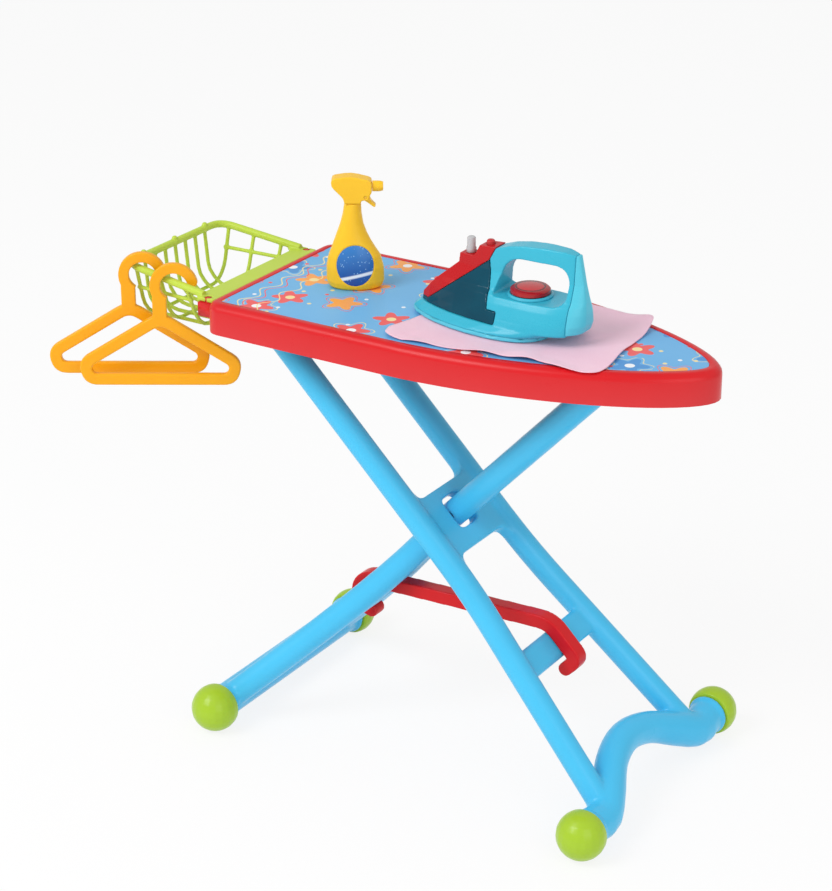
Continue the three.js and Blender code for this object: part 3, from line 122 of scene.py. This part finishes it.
# Nodes whose own shape is right, and which only get smooth shading
FINISHED_NODES = [
    "board_shell", "board_print_sheet", "bottle_label", "iron_sole_plate", "iron_dial_bezel",
    "iron_dial", "spray_knob", "steam_button", "hinge_bracket_near", "hinge_bracket_far",
    "leg_track_near", "leg_track_far", "hinge_rod", "cross_pivot_pin", "top_slide_pin",
]
CREASE_DEGREES = 32.0
WELD_REACH = 0.001 * MM

BODY_OF = {}
for body_name, members in RECORD["behaviour"]["bodies"].items():
    for member in members:
        BODY_OF[member] = body_name
SLOT_OF = {part["node"]: part["material_slot"] for part in RECORD["subparts"]}


def srgb(r, g, b):
    """A colour as a screen shows it, 0 to 255, as the linear colour that shaders take."""
    def line(value):
        value = value / 255.0
        return value / 12.92 if value <= 0.04045 else ((value + 0.055) / 1.055) ** 2.4
    return (line(r), line(g), line(b), 1.0)


def new_material(name):
    material = bpy.data.materials.new(name)
    material.use_nodes = True
    tree = material.node_tree
    return material, tree, tree.nodes["Principled BSDF"]


def feed(tree, socket, value):
    """Links a socket to another, or sets it to a fixed value."""
    if isinstance(value, bpy.types.NodeSocket):
        tree.links.new(value, socket)
    else:
        socket.default_value = value


def sums(tree, operation, a, b=0.0, clamp=False):
    node = tree.nodes.new("ShaderNodeMath")
    node.operation = operation
    node.use_clamp = clamp
    feed(tree, node.inputs[0], a)
    feed(tree, node.inputs[1], b)
    return node.outputs[0]


def blend_colour(tree, share, a, b):
    node = tree.nodes.new("ShaderNodeMix")
    node.data_type = "RGBA"
    feed(tree, node.inputs["Factor"], share)
    feed(tree, node.inputs["A"], a)
    feed(tree, node.inputs["B"], b)
    return node.outputs["Result"]


def noise_field(tree, per_metre, detail, vector):
    node = tree.nodes.new("ShaderNodeTexNoise")
    node.inputs["Scale"].default_value = per_metre
    node.inputs["Detail"].default_value = detail
    tree.links.new(vector, node.inputs["Vector"])
    return node.outputs["Fac"]


def place_of(tree):
    return tree.nodes.new("ShaderNodeTexCoord").outputs["Object"]


def axes_of(tree, vector):
    node = tree.nodes.new("ShaderNodeSeparateXYZ")
    tree.links.new(vector, node.inputs["Vector"])
    return node.outputs


def raised(tree, height, strength, distance):
    bump = tree.nodes.new("ShaderNodeBump")
    bump.inputs["Strength"].default_value = strength
    bump.inputs["Distance"].default_value = distance
    tree.links.new(height, bump.inputs["Height"])
    return bump.outputs["Normal"]


def between(tree, value, low, high):
    """A value from 0 to 1, spread from low to high."""
    span = tree.nodes.new("ShaderNodeMapRange")
    tree.links.new(value, span.inputs["Value"])
    span.inputs["To Min"].default_value = low
    span.inputs["To Max"].default_value = high
    return span.outputs["Result"]


def soft_step(tree, edge, value, sharpness):
    """1 where the value is below the edge, 0 above it, with a narrow soft border."""
    return sums(tree, "MULTIPLY", sums(tree, "SUBTRACT", edge, value), sharpness, clamp=True)


def moulded_plastic(name, colour, roughness, coat, glow):
    """Injection-moulded plastic: fine grain, slow drift of colour and gloss, and a painted highlight that
    makes sharp convex edges paler.
    """
    grain_size = 1.2 * MM
    grain_height = 0.3 * MM
    grain_strength = 0.06
    drift = 0.05
    drift_per_metre = 16.0
    cloud_per_metre = 40.0
    # The span of pointiness over which the painted edge highlight comes in, and how far it pales the colour
    edge_start, edge_full, edge_highlight_share = 0.52, 0.62, 0.16
    glow_reach = 4.0 * MM
    material, tree, shader = new_material(name)
    place = place_of(tree)
    slow = noise_field(tree, drift_per_metre, 3.0, place)
    dark = tuple(c * (1.0 - drift) for c in colour[:3]) + (1.0,)
    pale = tuple(min(c * (1.0 + drift) + 0.004, 1.0) for c in colour[:3]) + (1.0,)
    body = blend_colour(tree, slow, dark, pale)
    # Painted highlight: sharp convex edges, found by pointiness, are blended towards a paler colour, as if
    # they caught the light
    shape = tree.nodes.new("ShaderNodeNewGeometry")
    edge = tree.nodes.new("ShaderNodeMapRange")
    tree.links.new(shape.outputs["Pointiness"], edge.inputs["Value"])
    edge.inputs["From Min"].default_value = edge_start
    edge.inputs["From Max"].default_value = edge_full
    edge.inputs["To Max"].default_value = edge_highlight_share
    edge_highlight_tone = tuple(min(c * 0.75 + 0.25, 1.0) for c in colour[:3]) + (1.0,)
    tree.links.new(blend_colour(tree, edge.outputs["Result"], body, edge_highlight_tone), shader.inputs["Base Color"])
    fine = noise_field(tree, 1.0 / grain_size, 4.0, place)
    cloudy = noise_field(tree, cloud_per_metre, 2.0, place)
    gloss = sums(tree, "ADD", between(tree, fine, -0.05, 0.05), between(tree, cloudy, -0.05, 0.06))
    tree.links.new(sums(tree, "ADD", gloss, roughness), shader.inputs["Roughness"])
    tree.links.new(raised(tree, fine, grain_strength, grain_height), shader.inputs["Normal"])
    shader.inputs["Specular IOR Level"].default_value = 0.28
    shader.inputs["Coat Weight"].default_value = coat
    shader.inputs["Coat Roughness"].default_value = 0.12
    if glow > 0.0:
        shader.inputs["Subsurface Weight"].default_value = glow
        shader.inputs["Subsurface Radius"].default_value = (glow_reach, glow_reach, glow_reach)
        shader.inputs["Subsurface Scale"].default_value = 1.0
    return material


def drawn_steel(name):
    """Drawn steel: fine lines along the rods and pins, of changing gloss."""
    lines_per_metre = (900.0, 60.0, 900.0)
    material, tree, shader = new_material(name)
    stretch = tree.nodes.new("ShaderNodeMapping")
    stretch.inputs["Scale"].default_value = lines_per_metre
    tree.links.new(place_of(tree), stretch.inputs["Vector"])
    drawn = noise_field(tree, 1.0, 2.0, stretch.outputs["Vector"])
    tree.links.new(between(tree, drawn, 0.24, 0.44), shader.inputs["Roughness"])
    tint = blend_colour(tree, drawn, (0.50, 0.50, 0.52, 1.0), (0.62, 0.62, 0.64, 1.0))
    tree.links.new(tint, shader.inputs["Base Color"])
    shader.inputs["Metallic"].default_value = 1.0
    return material


def clear_tank(name):
    """Dark tinted plastic that lets a little light through, with a wet gloss."""
    tint_per_metre = 22.0
    smear_per_metre = 60.0
    material, tree, shader = new_material(name)
    place = place_of(tree)
    depth = noise_field(tree, tint_per_metre, 2.0, place)
    tint = blend_colour(tree, depth, srgb(0, 58, 80), srgb(0, 92, 114))
    tree.links.new(tint, shader.inputs["Base Color"])
    smear = noise_field(tree, smear_per_metre, 3.0, place)
    tree.links.new(between(tree, smear, 0.06, 0.18), shader.inputs["Roughness"])
    shader.inputs["Transmission Weight"].default_value = 0.18
    shader.inputs["IOR"].default_value = 1.46
    shader.inputs["Specular IOR Level"].default_value = 0.16
    shader.inputs["Coat Weight"].default_value = 0.1
    shader.inputs["Coat Roughness"].default_value = 0.05
    return material


def ringed_dial(name):
    """Glossy dark red plastic on the dial's top: a ring groove pressed in as a bump, with painted shade in
    the groove and on the band round the cap, which is left brighter as if lit.
    """
    cap_radius = 14.5 * MM
    groove_radius = 15.6 * MM
    groove_half_width = 1.1 * MM
    groove_depth = 0.6 * MM
    cloud_per_metre = 60.0
    smear_per_metre = 300.0
    material, tree, shader = new_material(name)
    low, high = (Vector(corner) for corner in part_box("iron_dial"))
    place = place_of(tree)
    axes = axes_of(tree, place)
    off_x = sums(tree, "SUBTRACT", axes["X"], (low.x + high.x) / 2.0)
    off_y = sums(tree, "SUBTRACT", axes["Y"], (low.y + high.y) / 2.0)
    square = sums(tree, "ADD", sums(tree, "MULTIPLY", off_x, off_x), sums(tree, "MULTIPLY", off_y, off_y))
    reach = sums(tree, "SQRT", square)
    cap = soft_step(tree, cap_radius, reach, 900.0)
    groove_away = sums(tree, "ABSOLUTE", sums(tree, "SUBTRACT", reach, groove_radius))
    groove = soft_step(tree, groove_half_width, groove_away, 1800.0)
    # Painted light and shade: the cap is brighter than the band round it, and the groove is painted much
    # darker, as shade in a recess
    colour = blend_colour(tree, cap, srgb(176, 10, 20), srgb(216, 16, 28))
    colour = blend_colour(tree, groove, colour, srgb(92, 4, 10))
    cloudy = between(tree, noise_field(tree, cloud_per_metre, 3.0, place), 0.0, 0.12)
    colour = blend_colour(tree, cloudy, colour, srgb(120, 6, 14))
    tree.links.new(colour, shader.inputs["Base Color"])
    smear = noise_field(tree, smear_per_metre, 2.0, place)
    tree.links.new(between(tree, smear, 0.14, 0.24), shader.inputs["Roughness"])
    rings = sums(tree, "MULTIPLY", groove, -1.0)
    tree.links.new(raised(tree, rings, 0.6, groove_depth), shader.inputs["Normal"])
    shader.inputs["Specular IOR Level"].default_value = 0.4
    shader.inputs["Coat Weight"].default_value = 0.2
    return material


def scatter(tree, flat, per_metre, randomness):
    """Cells over the sheet: distance and direction from each cell's middle, and two random numbers."""
    cells = tree.nodes.new("ShaderNodeTexVoronoi")
    cells.voronoi_dimensions = "2D"
    cells.inputs["Scale"].default_value = per_metre
    cells.inputs["Randomness"].default_value = randomness
    tree.links.new(flat, cells.inputs["Vector"])
    away = tree.nodes.new("ShaderNodeVectorMath")
    away.operation = "SUBTRACT"
    tree.links.new(flat, away.inputs[0])
    tree.links.new(cells.outputs["Position"], away.inputs[1])
    axes = axes_of(tree, away.outputs["Vector"])
    reach = tree.nodes.new("ShaderNodeVectorMath")
    reach.operation = "LENGTH"
    tree.links.new(away.outputs["Vector"], reach.inputs[0])
    turn = sums(tree, "ARCTAN2", axes["Y"], axes["X"])
    chance = tree.nodes.new("ShaderNodeSeparateColor")
    tree.links.new(cells.outputs["Color"], chance.inputs["Color"])
    return reach.outputs["Value"], turn, chance.outputs["Red"], chance.outputs["Green"]


def pick(tree, chance, colours):
    """One of several colours, by a random number."""
    ramp = tree.nodes.new("ShaderNodeValToRGB")
    ramp.color_ramp.interpolation = "CONSTANT"
    stops = ramp.color_ramp.elements
    while len(stops) < len(colours):
        stops.new(0.5)
    for i, colour in enumerate(colours):
        stops[i].position = i / len(colours)
        stops[i].color = colour
    tree.links.new(chance, ramp.inputs["Fac"])
    return ramp.outputs["Color"]


def printed_sheet(name):
    """A blue plastic sheet printed with a plain pattern of blossoms, rings, dots and wavy lines."""
    blossoms_per_metre, petals = 15.0, 5.0
    blossom_radius, petal_swing, heart_radius = 16.5 * MM, 4.8 * MM, 5.6 * MM
    ring_gap, ring_half_width = 4.2 * MM, 0.8 * MM
    dots_per_metre, dot_radius = 41.0, 2.6 * MM
    wave_turns, wave_swing, line_half_width = 150.0, 6.0 * MM, 1.0 * MM
    grain_per_metre, grain_height = 700.0, 0.3 * MM
    crisp = 2500.0
    coral, orange = srgb(240, 92, 92), srgb(250, 168, 84)
    cream, white = srgb(246, 226, 160), srgb(244, 246, 248)
    material, tree, shader = new_material(name)
    place = place_of(tree)
    axes = axes_of(tree, place)
    join = tree.nodes.new("ShaderNodeCombineXYZ")
    tree.links.new(axes["X"], join.inputs["X"])
    tree.links.new(axes["Y"], join.inputs["Y"])
    flat = join.outputs["Vector"]
    ground = noise_field(tree, 9.0, 3.0, place)
    colour = blend_colour(tree, ground, srgb(96, 172, 226), srgb(120, 190, 236))

    reach, turn, chance, other = scatter(tree, flat, blossoms_per_metre, 0.55)
    spin = sums(tree, "ADD", sums(tree, "MULTIPLY", turn, petals), sums(tree, "MULTIPLY", other, 6.3))
    swing = sums(tree, "MULTIPLY", sums(tree, "COSINE", spin), petal_swing)
    petal = sums(tree, "ADD", swing, blossom_radius)
    bloom = soft_step(tree, petal, reach, 1800.0)
    petal_tone = pick(tree, chance, [coral, orange, coral, srgb(70, 148, 214)])
    colour = blend_colour(tree, bloom, colour, petal_tone)
    heart = soft_step(tree, heart_radius, reach, crisp)
    colour = blend_colour(tree, heart, colour, pick(tree, other, [cream, orange, white]))
    off_ring = sums(tree, "SUBTRACT", reach, sums(tree, "ADD", petal, ring_gap))
    ringed = sums(tree, "GREATER_THAN", other, 0.4)
    ring_line = soft_step(tree, ring_half_width, sums(tree, "ABSOLUTE", off_ring), crisp)
    ring = sums(tree, "MULTIPLY", ring_line, ringed)
    colour = blend_colour(tree, ring, colour, pick(tree, chance, [cream, coral, white, cream]))

    reach, _, chance, other = scatter(tree, flat, dots_per_metre, 0.9)
    dotted = sums(tree, "GREATER_THAN", chance, 0.55)
    dot = sums(tree, "MULTIPLY", soft_step(tree, dot_radius, reach, crisp), dotted)
    free_dot = sums(tree, "MULTIPLY", dot, sums(tree, "SUBTRACT", 1.0, bloom))
    colour = blend_colour(tree, free_dot, colour, pick(tree, other, [white, cream, coral]))

    swing = sums(tree, "SINE", sums(tree, "MULTIPLY", axes["Y"], wave_turns))
    wave = sums(tree, "MULTIPLY", swing, wave_swing)
    sheet_low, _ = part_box("board_print_sheet")
    for inset, tone in ((20.0 * MM, cream), (27.0 * MM, coral), (46.0 * MM, cream)):
        line = sums(tree, "SUBTRACT", axes["X"], sheet_low[0] + inset)
        away = sums(tree, "ABSOLUTE", sums(tree, "SUBTRACT", line, wave))
        colour = blend_colour(tree, soft_step(tree, line_half_width, away, crisp), colour, tone)

    tree.links.new(colour, shader.inputs["Base Color"])
    fine = noise_field(tree, grain_per_metre, 3.0, place)
    tree.links.new(between(tree, fine, 0.34, 0.48), shader.inputs["Roughness"])
    tree.links.new(raised(tree, fine, 0.05, grain_height), shader.inputs["Normal"])
    return material


def label_print(name):
    """A plain blue label with pale bubbles and a pale band near its lower edge."""
    bubbles_per_metre, bubble_radius = 260.0, 0.20
    band_level, band_half_width, band_slope = 0.12, 0.055, 6.0
    smear_per_metre = 500.0
    material, tree, shader = new_material(name)
    low, high = (Vector(corner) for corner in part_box("bottle_label"))
    place = place_of(tree)
    axes = axes_of(tree, place)
    height = tree.nodes.new("ShaderNodeMapRange")
    tree.links.new(axes["Z"], height.inputs["Value"])
    height.inputs["From Min"].default_value = low.z
    height.inputs["From Max"].default_value = high.z
    level = height.outputs["Result"]
    colour = blend_colour(tree, level, srgb(24, 70, 150), srgb(46, 128, 200))
    bubbles = tree.nodes.new("ShaderNodeTexVoronoi")
    bubbles.inputs["Scale"].default_value = bubbles_per_metre
    tree.links.new(place, bubbles.inputs["Vector"])
    spot = soft_step(tree, bubble_radius, bubbles.outputs["Distance"], 9.0)
    colour = blend_colour(tree, spot, colour, srgb(150, 200, 236))
    bend = sums(tree, "MULTIPLY", sums(tree, "SUBTRACT", axes["X"], low.x), band_slope)
    off_band = sums(tree, "SUBTRACT", sums(tree, "SUBTRACT", level, bend), band_level)
    band = soft_step(tree, band_half_width, sums(tree, "ABSOLUTE", off_band), 30.0)
    colour = blend_colour(tree, band, colour, srgb(236, 242, 248))
    tree.links.new(colour, shader.inputs["Base Color"])
    smear = noise_field(tree, smear_per_metre, 2.0, place)
    tree.links.new(between(tree, smear, 0.26, 0.38), shader.inputs["Roughness"])
    return material


def woven_cotton(name):
    """Thin plain-weave cotton: fine crossing threads, a cloudy tone and a soft sheen."""
    weave_scale = 300.0
    thread_height = 0.4 * MM
    cloud_per_metre = 30.0
    material, tree, shader = new_material(name)
    place = place_of(tree)
    threads = []
    for direction in ("X", "Y"):
        wave = tree.nodes.new("ShaderNodeTexWave")
        wave.bands_direction = direction
        wave.inputs["Scale"].default_value = weave_scale
        wave.inputs["Distortion"].default_value = 1.2
        wave.inputs["Detail"].default_value = 2.0
        tree.links.new(place, wave.inputs["Vector"])
        threads.append(wave.outputs["Fac"])
    weave = sums(tree, "MULTIPLY", sums(tree, "ADD", threads[0], threads[1]), 0.5)
    cloudy = noise_field(tree, cloud_per_metre, 4.0, place)
    ground = blend_colour(tree, cloudy, srgb(244, 194, 214), srgb(250, 212, 226))
    shade = blend_colour(tree, between(tree, weave, 0.0, 0.28), ground, srgb(232, 174, 200))
    tree.links.new(shade, shader.inputs["Base Color"])
    tree.links.new(raised(tree, weave, 0.30, thread_height), shader.inputs["Normal"])
    shader.inputs["Roughness"].default_value = 0.92
    shader.inputs["Sheen Weight"].default_value = 0.35
    shader.inputs["Sheen Roughness"].default_value = 0.5
    return material


PAINT = {
    "tank_plastic": clear_tank("tank_plastic"),
    "dial_plastic": ringed_dial("dial_plastic"),
    "label_paper": label_print("label_paper"),
    "printed_sheet": printed_sheet("printed_sheet"),
    "pink_cloth": woven_cotton("pink_cloth"),
    "steel": drawn_steel("steel"),
}
for slot, (tone, roughness, coat, glow) in PLASTICS.items():
    PAINT[slot] = moulded_plastic(slot, srgb(*tone), roughness, coat, glow)
for node_name, node in NODES.items():
    node.data.materials.clear()
    node.data.materials.append(PAINT[SLOT_OF[node_name]])


def add_object(name, mesh):
    piece = bpy.data.objects.new(name, mesh)
    bpy.context.collection.objects.link(piece)
    return piece


def settle(piece):
    """Bakes a piece's modifiers into its mesh."""
    bpy.context.view_layer.update()
    ready = piece.evaluated_get(bpy.context.evaluated_depsgraph_get())
    mesh = bpy.data.meshes.new_from_object(ready)
    piece.modifiers.clear()
    piece.data = mesh


def stand_for(piece, nodes):
    """Gives a piece the material and the body of the nodes that it replaces, and hides these nodes."""
    piece.data.materials.clear()
    piece.data.materials.append(PAINT[SLOT_OF[nodes[0]]])
    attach(piece, BODY_OF[nodes[0]])
    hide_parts(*nodes)
    return piece


def softened(name, nodes, voxel, passes, keep):
    """The moulding that stands for some nodes: their solids with filleted joints and rounded edges."""
    work = bmesh.new()
    for node_name in nodes:
        work.from_mesh(NODES[node_name].data)
    mesh = bpy.data.meshes.new(name)
    work.to_mesh(mesh)
    work.free()
    piece = add_object(name, mesh)
    skin = piece.modifiers.new("skin", "REMESH")
    skin.mode = "VOXEL"
    skin.voxel_size = voxel
    ease = piece.modifiers.new("ease", "SMOOTH")
    ease.factor = SMOOTH_SHARE
    ease.iterations = passes
    thin = piece.modifiers.new("thin", "DECIMATE")
    thin.ratio = keep
    settle(piece)
    piece.data.shade_smooth()
    return stand_for(piece, nodes)


def faceted(name, node_name):
    """The piece that stands for a node, in its own shape, with smooth bends and level flat faces."""
    work = bmesh.new()
    work.from_mesh(NODES[node_name].data)
    bmesh.ops.remove_doubles(work, verts=work.verts, dist=WELD_REACH)
    mesh = bpy.data.meshes.new(name)
    work.to_mesh(mesh)
    work.free()
    mesh.shade_smooth()
    mesh.set_sharp_from_angle(angle=math.radians(CREASE_DEGREES))
    piece = add_object(name, mesh)
    level = piece.modifiers.new("level", "WEIGHTED_NORMAL")
    level.keep_sharp = True
    settle(piece)
    return stand_for(piece, [node_name])


def add_mouldings():
    for name, nodes, voxel_mm, passes, keep in MOULDINGS:
        softened(name, nodes, voxel_mm * MM, passes, keep)
    for node_name in FINISHED_NODES:
        faceted(f"{node_name}_finish", node_name)


def add_springs():
    """The coils under the dial and the steam button, each as a piece with its own mesh; the record lists
    them as the deforming nodes of the joints that press them.
    """
    for joint in RECORD["behaviour"]["joints"]:
        for row in joint.get("deforming_nodes", []):
            coil = faceted(f"{row['node']}_coil", row["node"])
            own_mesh(coil)


def inside(outline, x, y):
    """Whether a point lies within a closed outline."""
    hit = False
    for i, (x0, y0) in enumerate(outline):
        x1, y1 = outline[i - 1]
        if (y0 > y) != (y1 > y) and x < (x1 - x0) * (y - y0) / (y1 - y0) + x0:
            hit = not hit
    return hit


def nearest_on(outline, x, y):
    """The point of an outline that is nearest to a place, and how far it is."""
    best, best_square = None, math.inf
    for i, (x0, y0) in enumerate(outline):
        x1, y1 = outline[i - 1]
        run = (x1 - x0) ** 2 + (y1 - y0) ** 2
        along = (x - x0) * (x1 - x0) + (y - y0) * (y1 - y0)
        share = 0.0 if run == 0 else max(0.0, min(1.0, along / run))
        px, py = x0 + share * (x1 - x0), y0 + share * (y1 - y0)
        square = (px - x) ** 2 + (py - y) ** 2
        if square < best_square:
            best, best_square = (px, py), square
    return best, math.sqrt(best_square)


def outline_of(node_name):
    """The upper outline of a flat node, in order round it."""
    level_reach = 0.01 * MM
    mesh = NODES[node_name].data
    top = max(v.co.z for v in mesh.vertices)
    points = [(v.co.x, v.co.y) for v in mesh.vertices if v.co.z > top - level_reach]
    points = list({(round(x, 6), round(y, 6)) for x, y in points})
    mid_x = sum(x for x, y in points) / len(points)
    mid_y = sum(y for x, y in points) / len(points)
    return sorted(points, key=lambda p: math.atan2(p[1] - mid_y, p[0] - mid_x))


def cloth_grid(outline, low, high, spacing):
    """A flat grid of faces that fills an outline, with its border drawn onto it."""
    count_x = int((high.x - low.x) / spacing) + 1
    count_y = int((high.y - low.y) / spacing) + 1
    work = bmesh.new()
    grid = {}
    for i in range(count_x + 1):
        for k in range(count_y + 1):
            x, y = low.x + i * spacing, low.y + k * spacing
            if inside(outline, x, y):
                grid[i, k] = work.verts.new((x, y, 0.0))
    for i, k in grid:
        ring = [(i, k), (i + 1, k), (i + 1, k + 1), (i, k + 1)]
        if all(key in grid for key in ring):
            work.faces.new([grid[key] for key in ring])
    bmesh.ops.delete(work, geom=[v for v in work.verts if not v.link_faces], context="VERTS")
    for vertex in work.verts:
        if vertex.is_boundary:
            (vertex.co.x, vertex.co.y), _ = nearest_on(outline, vertex.co.x, vertex.co.y)
    return work


def ripple(x, y, waves_x, waves_y, layer):
    """Smooth noise over the cloth, with so many waves to the metre each way."""
    return noise.noise((x * waves_x, y * waves_y, layer))


def add_cloth():
    """The pressing cloth: flat where the iron holds it, with low folds around, a hem and one corner up."""
    spacing, thickness, lift = 3.0 * MM, 0.7 * MM, 0.45 * MM
    held_wider_x, held_wider_y, loosening = 1.06, 1.12, 0.55
    broad_folds, fine_folds, edge_curls = (16.0, 9.0, 2.7), (34.0, 30.0, 7.9), (22.0, 22.0, 4.1)
    fold_height, fold_bias, fine_share = 5.2 * MM, 0.12, 0.5
    curl_height, curl_reach = 5.0 * MM, 16.0 * MM
    corner_height, corner_reach = 13.0 * MM, 62.0 * MM
    hem_height, hem_width, hem_held = 0.35 * MM, 4.5 * MM, 0.2
    outline = outline_of("pressing_cloth")
    low, high = (Vector(corner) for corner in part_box("pressing_cloth"))
    sole_low, sole_high = (Vector(corner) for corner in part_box("iron_sole_plate"))
    sole_mid = (sole_low + sole_high) / 2.0
    sole_half = (sole_high - sole_low) / 2.0
    work = cloth_grid(outline, low, high, spacing)
    flat_area = sum(face.calc_area() for face in work.faces)
    for vertex in work.verts:
        x, y = vertex.co.x, vertex.co.y
        off_x = (x - sole_mid.x) / (sole_half.x * held_wider_x)
        off_y = (y - sole_mid.y) / (sole_half.y * held_wider_y)
        free = max(0.0, min(1.0, (math.hypot(off_x, off_y) - 1.0) / loosening))
        free = free * free * (3.0 - 2.0 * free)
        fold = ripple(x, y, *broad_folds) + fine_share * ripple(x, y, *fine_folds)
        rise = max(0.0, fold + fold_bias) * fold_height * free
        _, far = nearest_on(outline, x, y)
        wander = max(0.0, ripple(x, y, *edge_curls))
        curl = max(0.0, 1.0 - far / curl_reach) * wander * curl_height * free
        corner_far = math.hypot(x - high.x, y - high.y)
        corner = max(0.0, 1.0 - corner_far / corner_reach) ** 2 * corner_height
        hem = hem_height if far < hem_width else 0.0
        vertex.co.z = low.z + lift + rise + curl + corner + hem * min(1.0, free + hem_held)
    mesh = bpy.data.meshes.new("pressing_cloth_sheet")
    work.to_mesh(mesh)
    work.free()
    cloth = add_object("pressing_cloth_sheet", mesh)
    fine = cloth.modifiers.new("fine", "SUBSURF")
    fine.levels = 1
    fine.render_levels = 1
    body = cloth.modifiers.new("body", "SOLIDIFY")
    body.thickness = thickness
    body.offset = 0.0
    settle(cloth)
    cloth.data.shade_smooth()
    stand_for(cloth, ["pressing_cloth"])


def add_stage():
    """A pale floor that looks nearly white to the camera and still takes the object's shadow."""
    mesh = bpy.data.meshes.new("studio_floor")
    reach = FLOOR_REACH
    corners = [(-reach, -reach, 0), (reach, -reach, 0), (reach, reach, 0), (-reach, reach, 0)]
    mesh.from_pydata(corners, [], [(0, 1, 2, 3)])
    floor = add_object("studio_floor", mesh)
    floor.location.z = -FLOOR_DROP
    material, tree, shader = new_material("studio_floor")
    shader.inputs["Base Color"].default_value = FLOOR_TONE
    shader.inputs["Roughness"].default_value = 0.9
    shader.inputs["Specular IOR Level"].default_value = 0.1
    lit = tree.nodes.new("ShaderNodeEmission")
    lit.inputs["Color"].default_value = WHITE
    lit.inputs["Strength"].default_value = 1.0
    blend = tree.nodes.new("ShaderNodeMixShader")
    rays = tree.nodes.new("ShaderNodeLightPath")
    seen = sums(tree, "ADD", rays.outputs["Is Camera Ray"], rays.outputs["Is Glossy Ray"])
    seen = sums(tree, "ADD", seen, rays.outputs["Is Transmission Ray"], clamp=True)
    tree.links.new(sums(tree, "MULTIPLY", seen, FLOOR_SEEN_GLOW), blend.inputs["Fac"])
    tree.links.new(shader.outputs["BSDF"], blend.inputs[1])
    tree.links.new(lit.outputs["Emission"], blend.inputs[2])
    tree.links.new(blend.outputs["Shader"], tree.nodes["Material Output"].inputs["Surface"])
    mesh.materials.append(material)


def add_lamps():
    for name, (place, aim, width, power) in LAMPS.items():
        data = bpy.data.lights.new(name, "AREA")
        data.energy = power
        data.size = width
        lamp = add_object(name, data)
        lamp.location = place
        lamp.rotation_euler = (Vector(aim) - Vector(place)).to_track_quat("-Z", "Y").to_euler()


def add_camera():
    yaw, pitch = CAMERA_YAW, CAMERA_PITCH
    back = Vector((math.sin(yaw) * math.cos(pitch), -math.cos(yaw) * math.cos(pitch), math.sin(pitch)))
    data = bpy.data.cameras.new("photo_camera")
    data.sensor_fit = "VERTICAL"
    data.sensor_height = SENSOR_HEIGHT_MM
    data.lens = CAMERA_FOCUS_PX / PHOTO_HEIGHT_PX * SENSOR_HEIGHT_MM
    camera = add_object("photo_camera", data)
    camera.location = (CAMERA_PLACE[0] + SHIFT_X, CAMERA_PLACE[1], CAMERA_PLACE[2])
    camera.rotation_euler = (-back).to_track_quat("-Z", "Y").to_euler()
    bpy.context.scene.camera = camera


def add_world():
    """Even white light from all round, and a paler backdrop where the camera sees past the floor."""
    world = bpy.data.worlds.new("studio")
    bpy.context.scene.world = world
    world.use_nodes = True
    tree = world.node_tree
    back = tree.nodes["Background"]
    back.inputs["Color"].default_value = WHITE
    rays = tree.nodes.new("ShaderNodeLightPath")
    extra = sums(tree, "MULTIPLY", rays.outputs["Is Camera Ray"], WORLD_SEEN_EXTRA)
    tree.links.new(sums(tree, "ADD", extra, WORLD_LIGHT), back.inputs["Strength"])


add_mouldings()
add_springs()
add_cloth()
add_stage()
add_camera()
add_world()
add_lamps()
bpy.context.scene.view_settings.view_transform = "Standard"
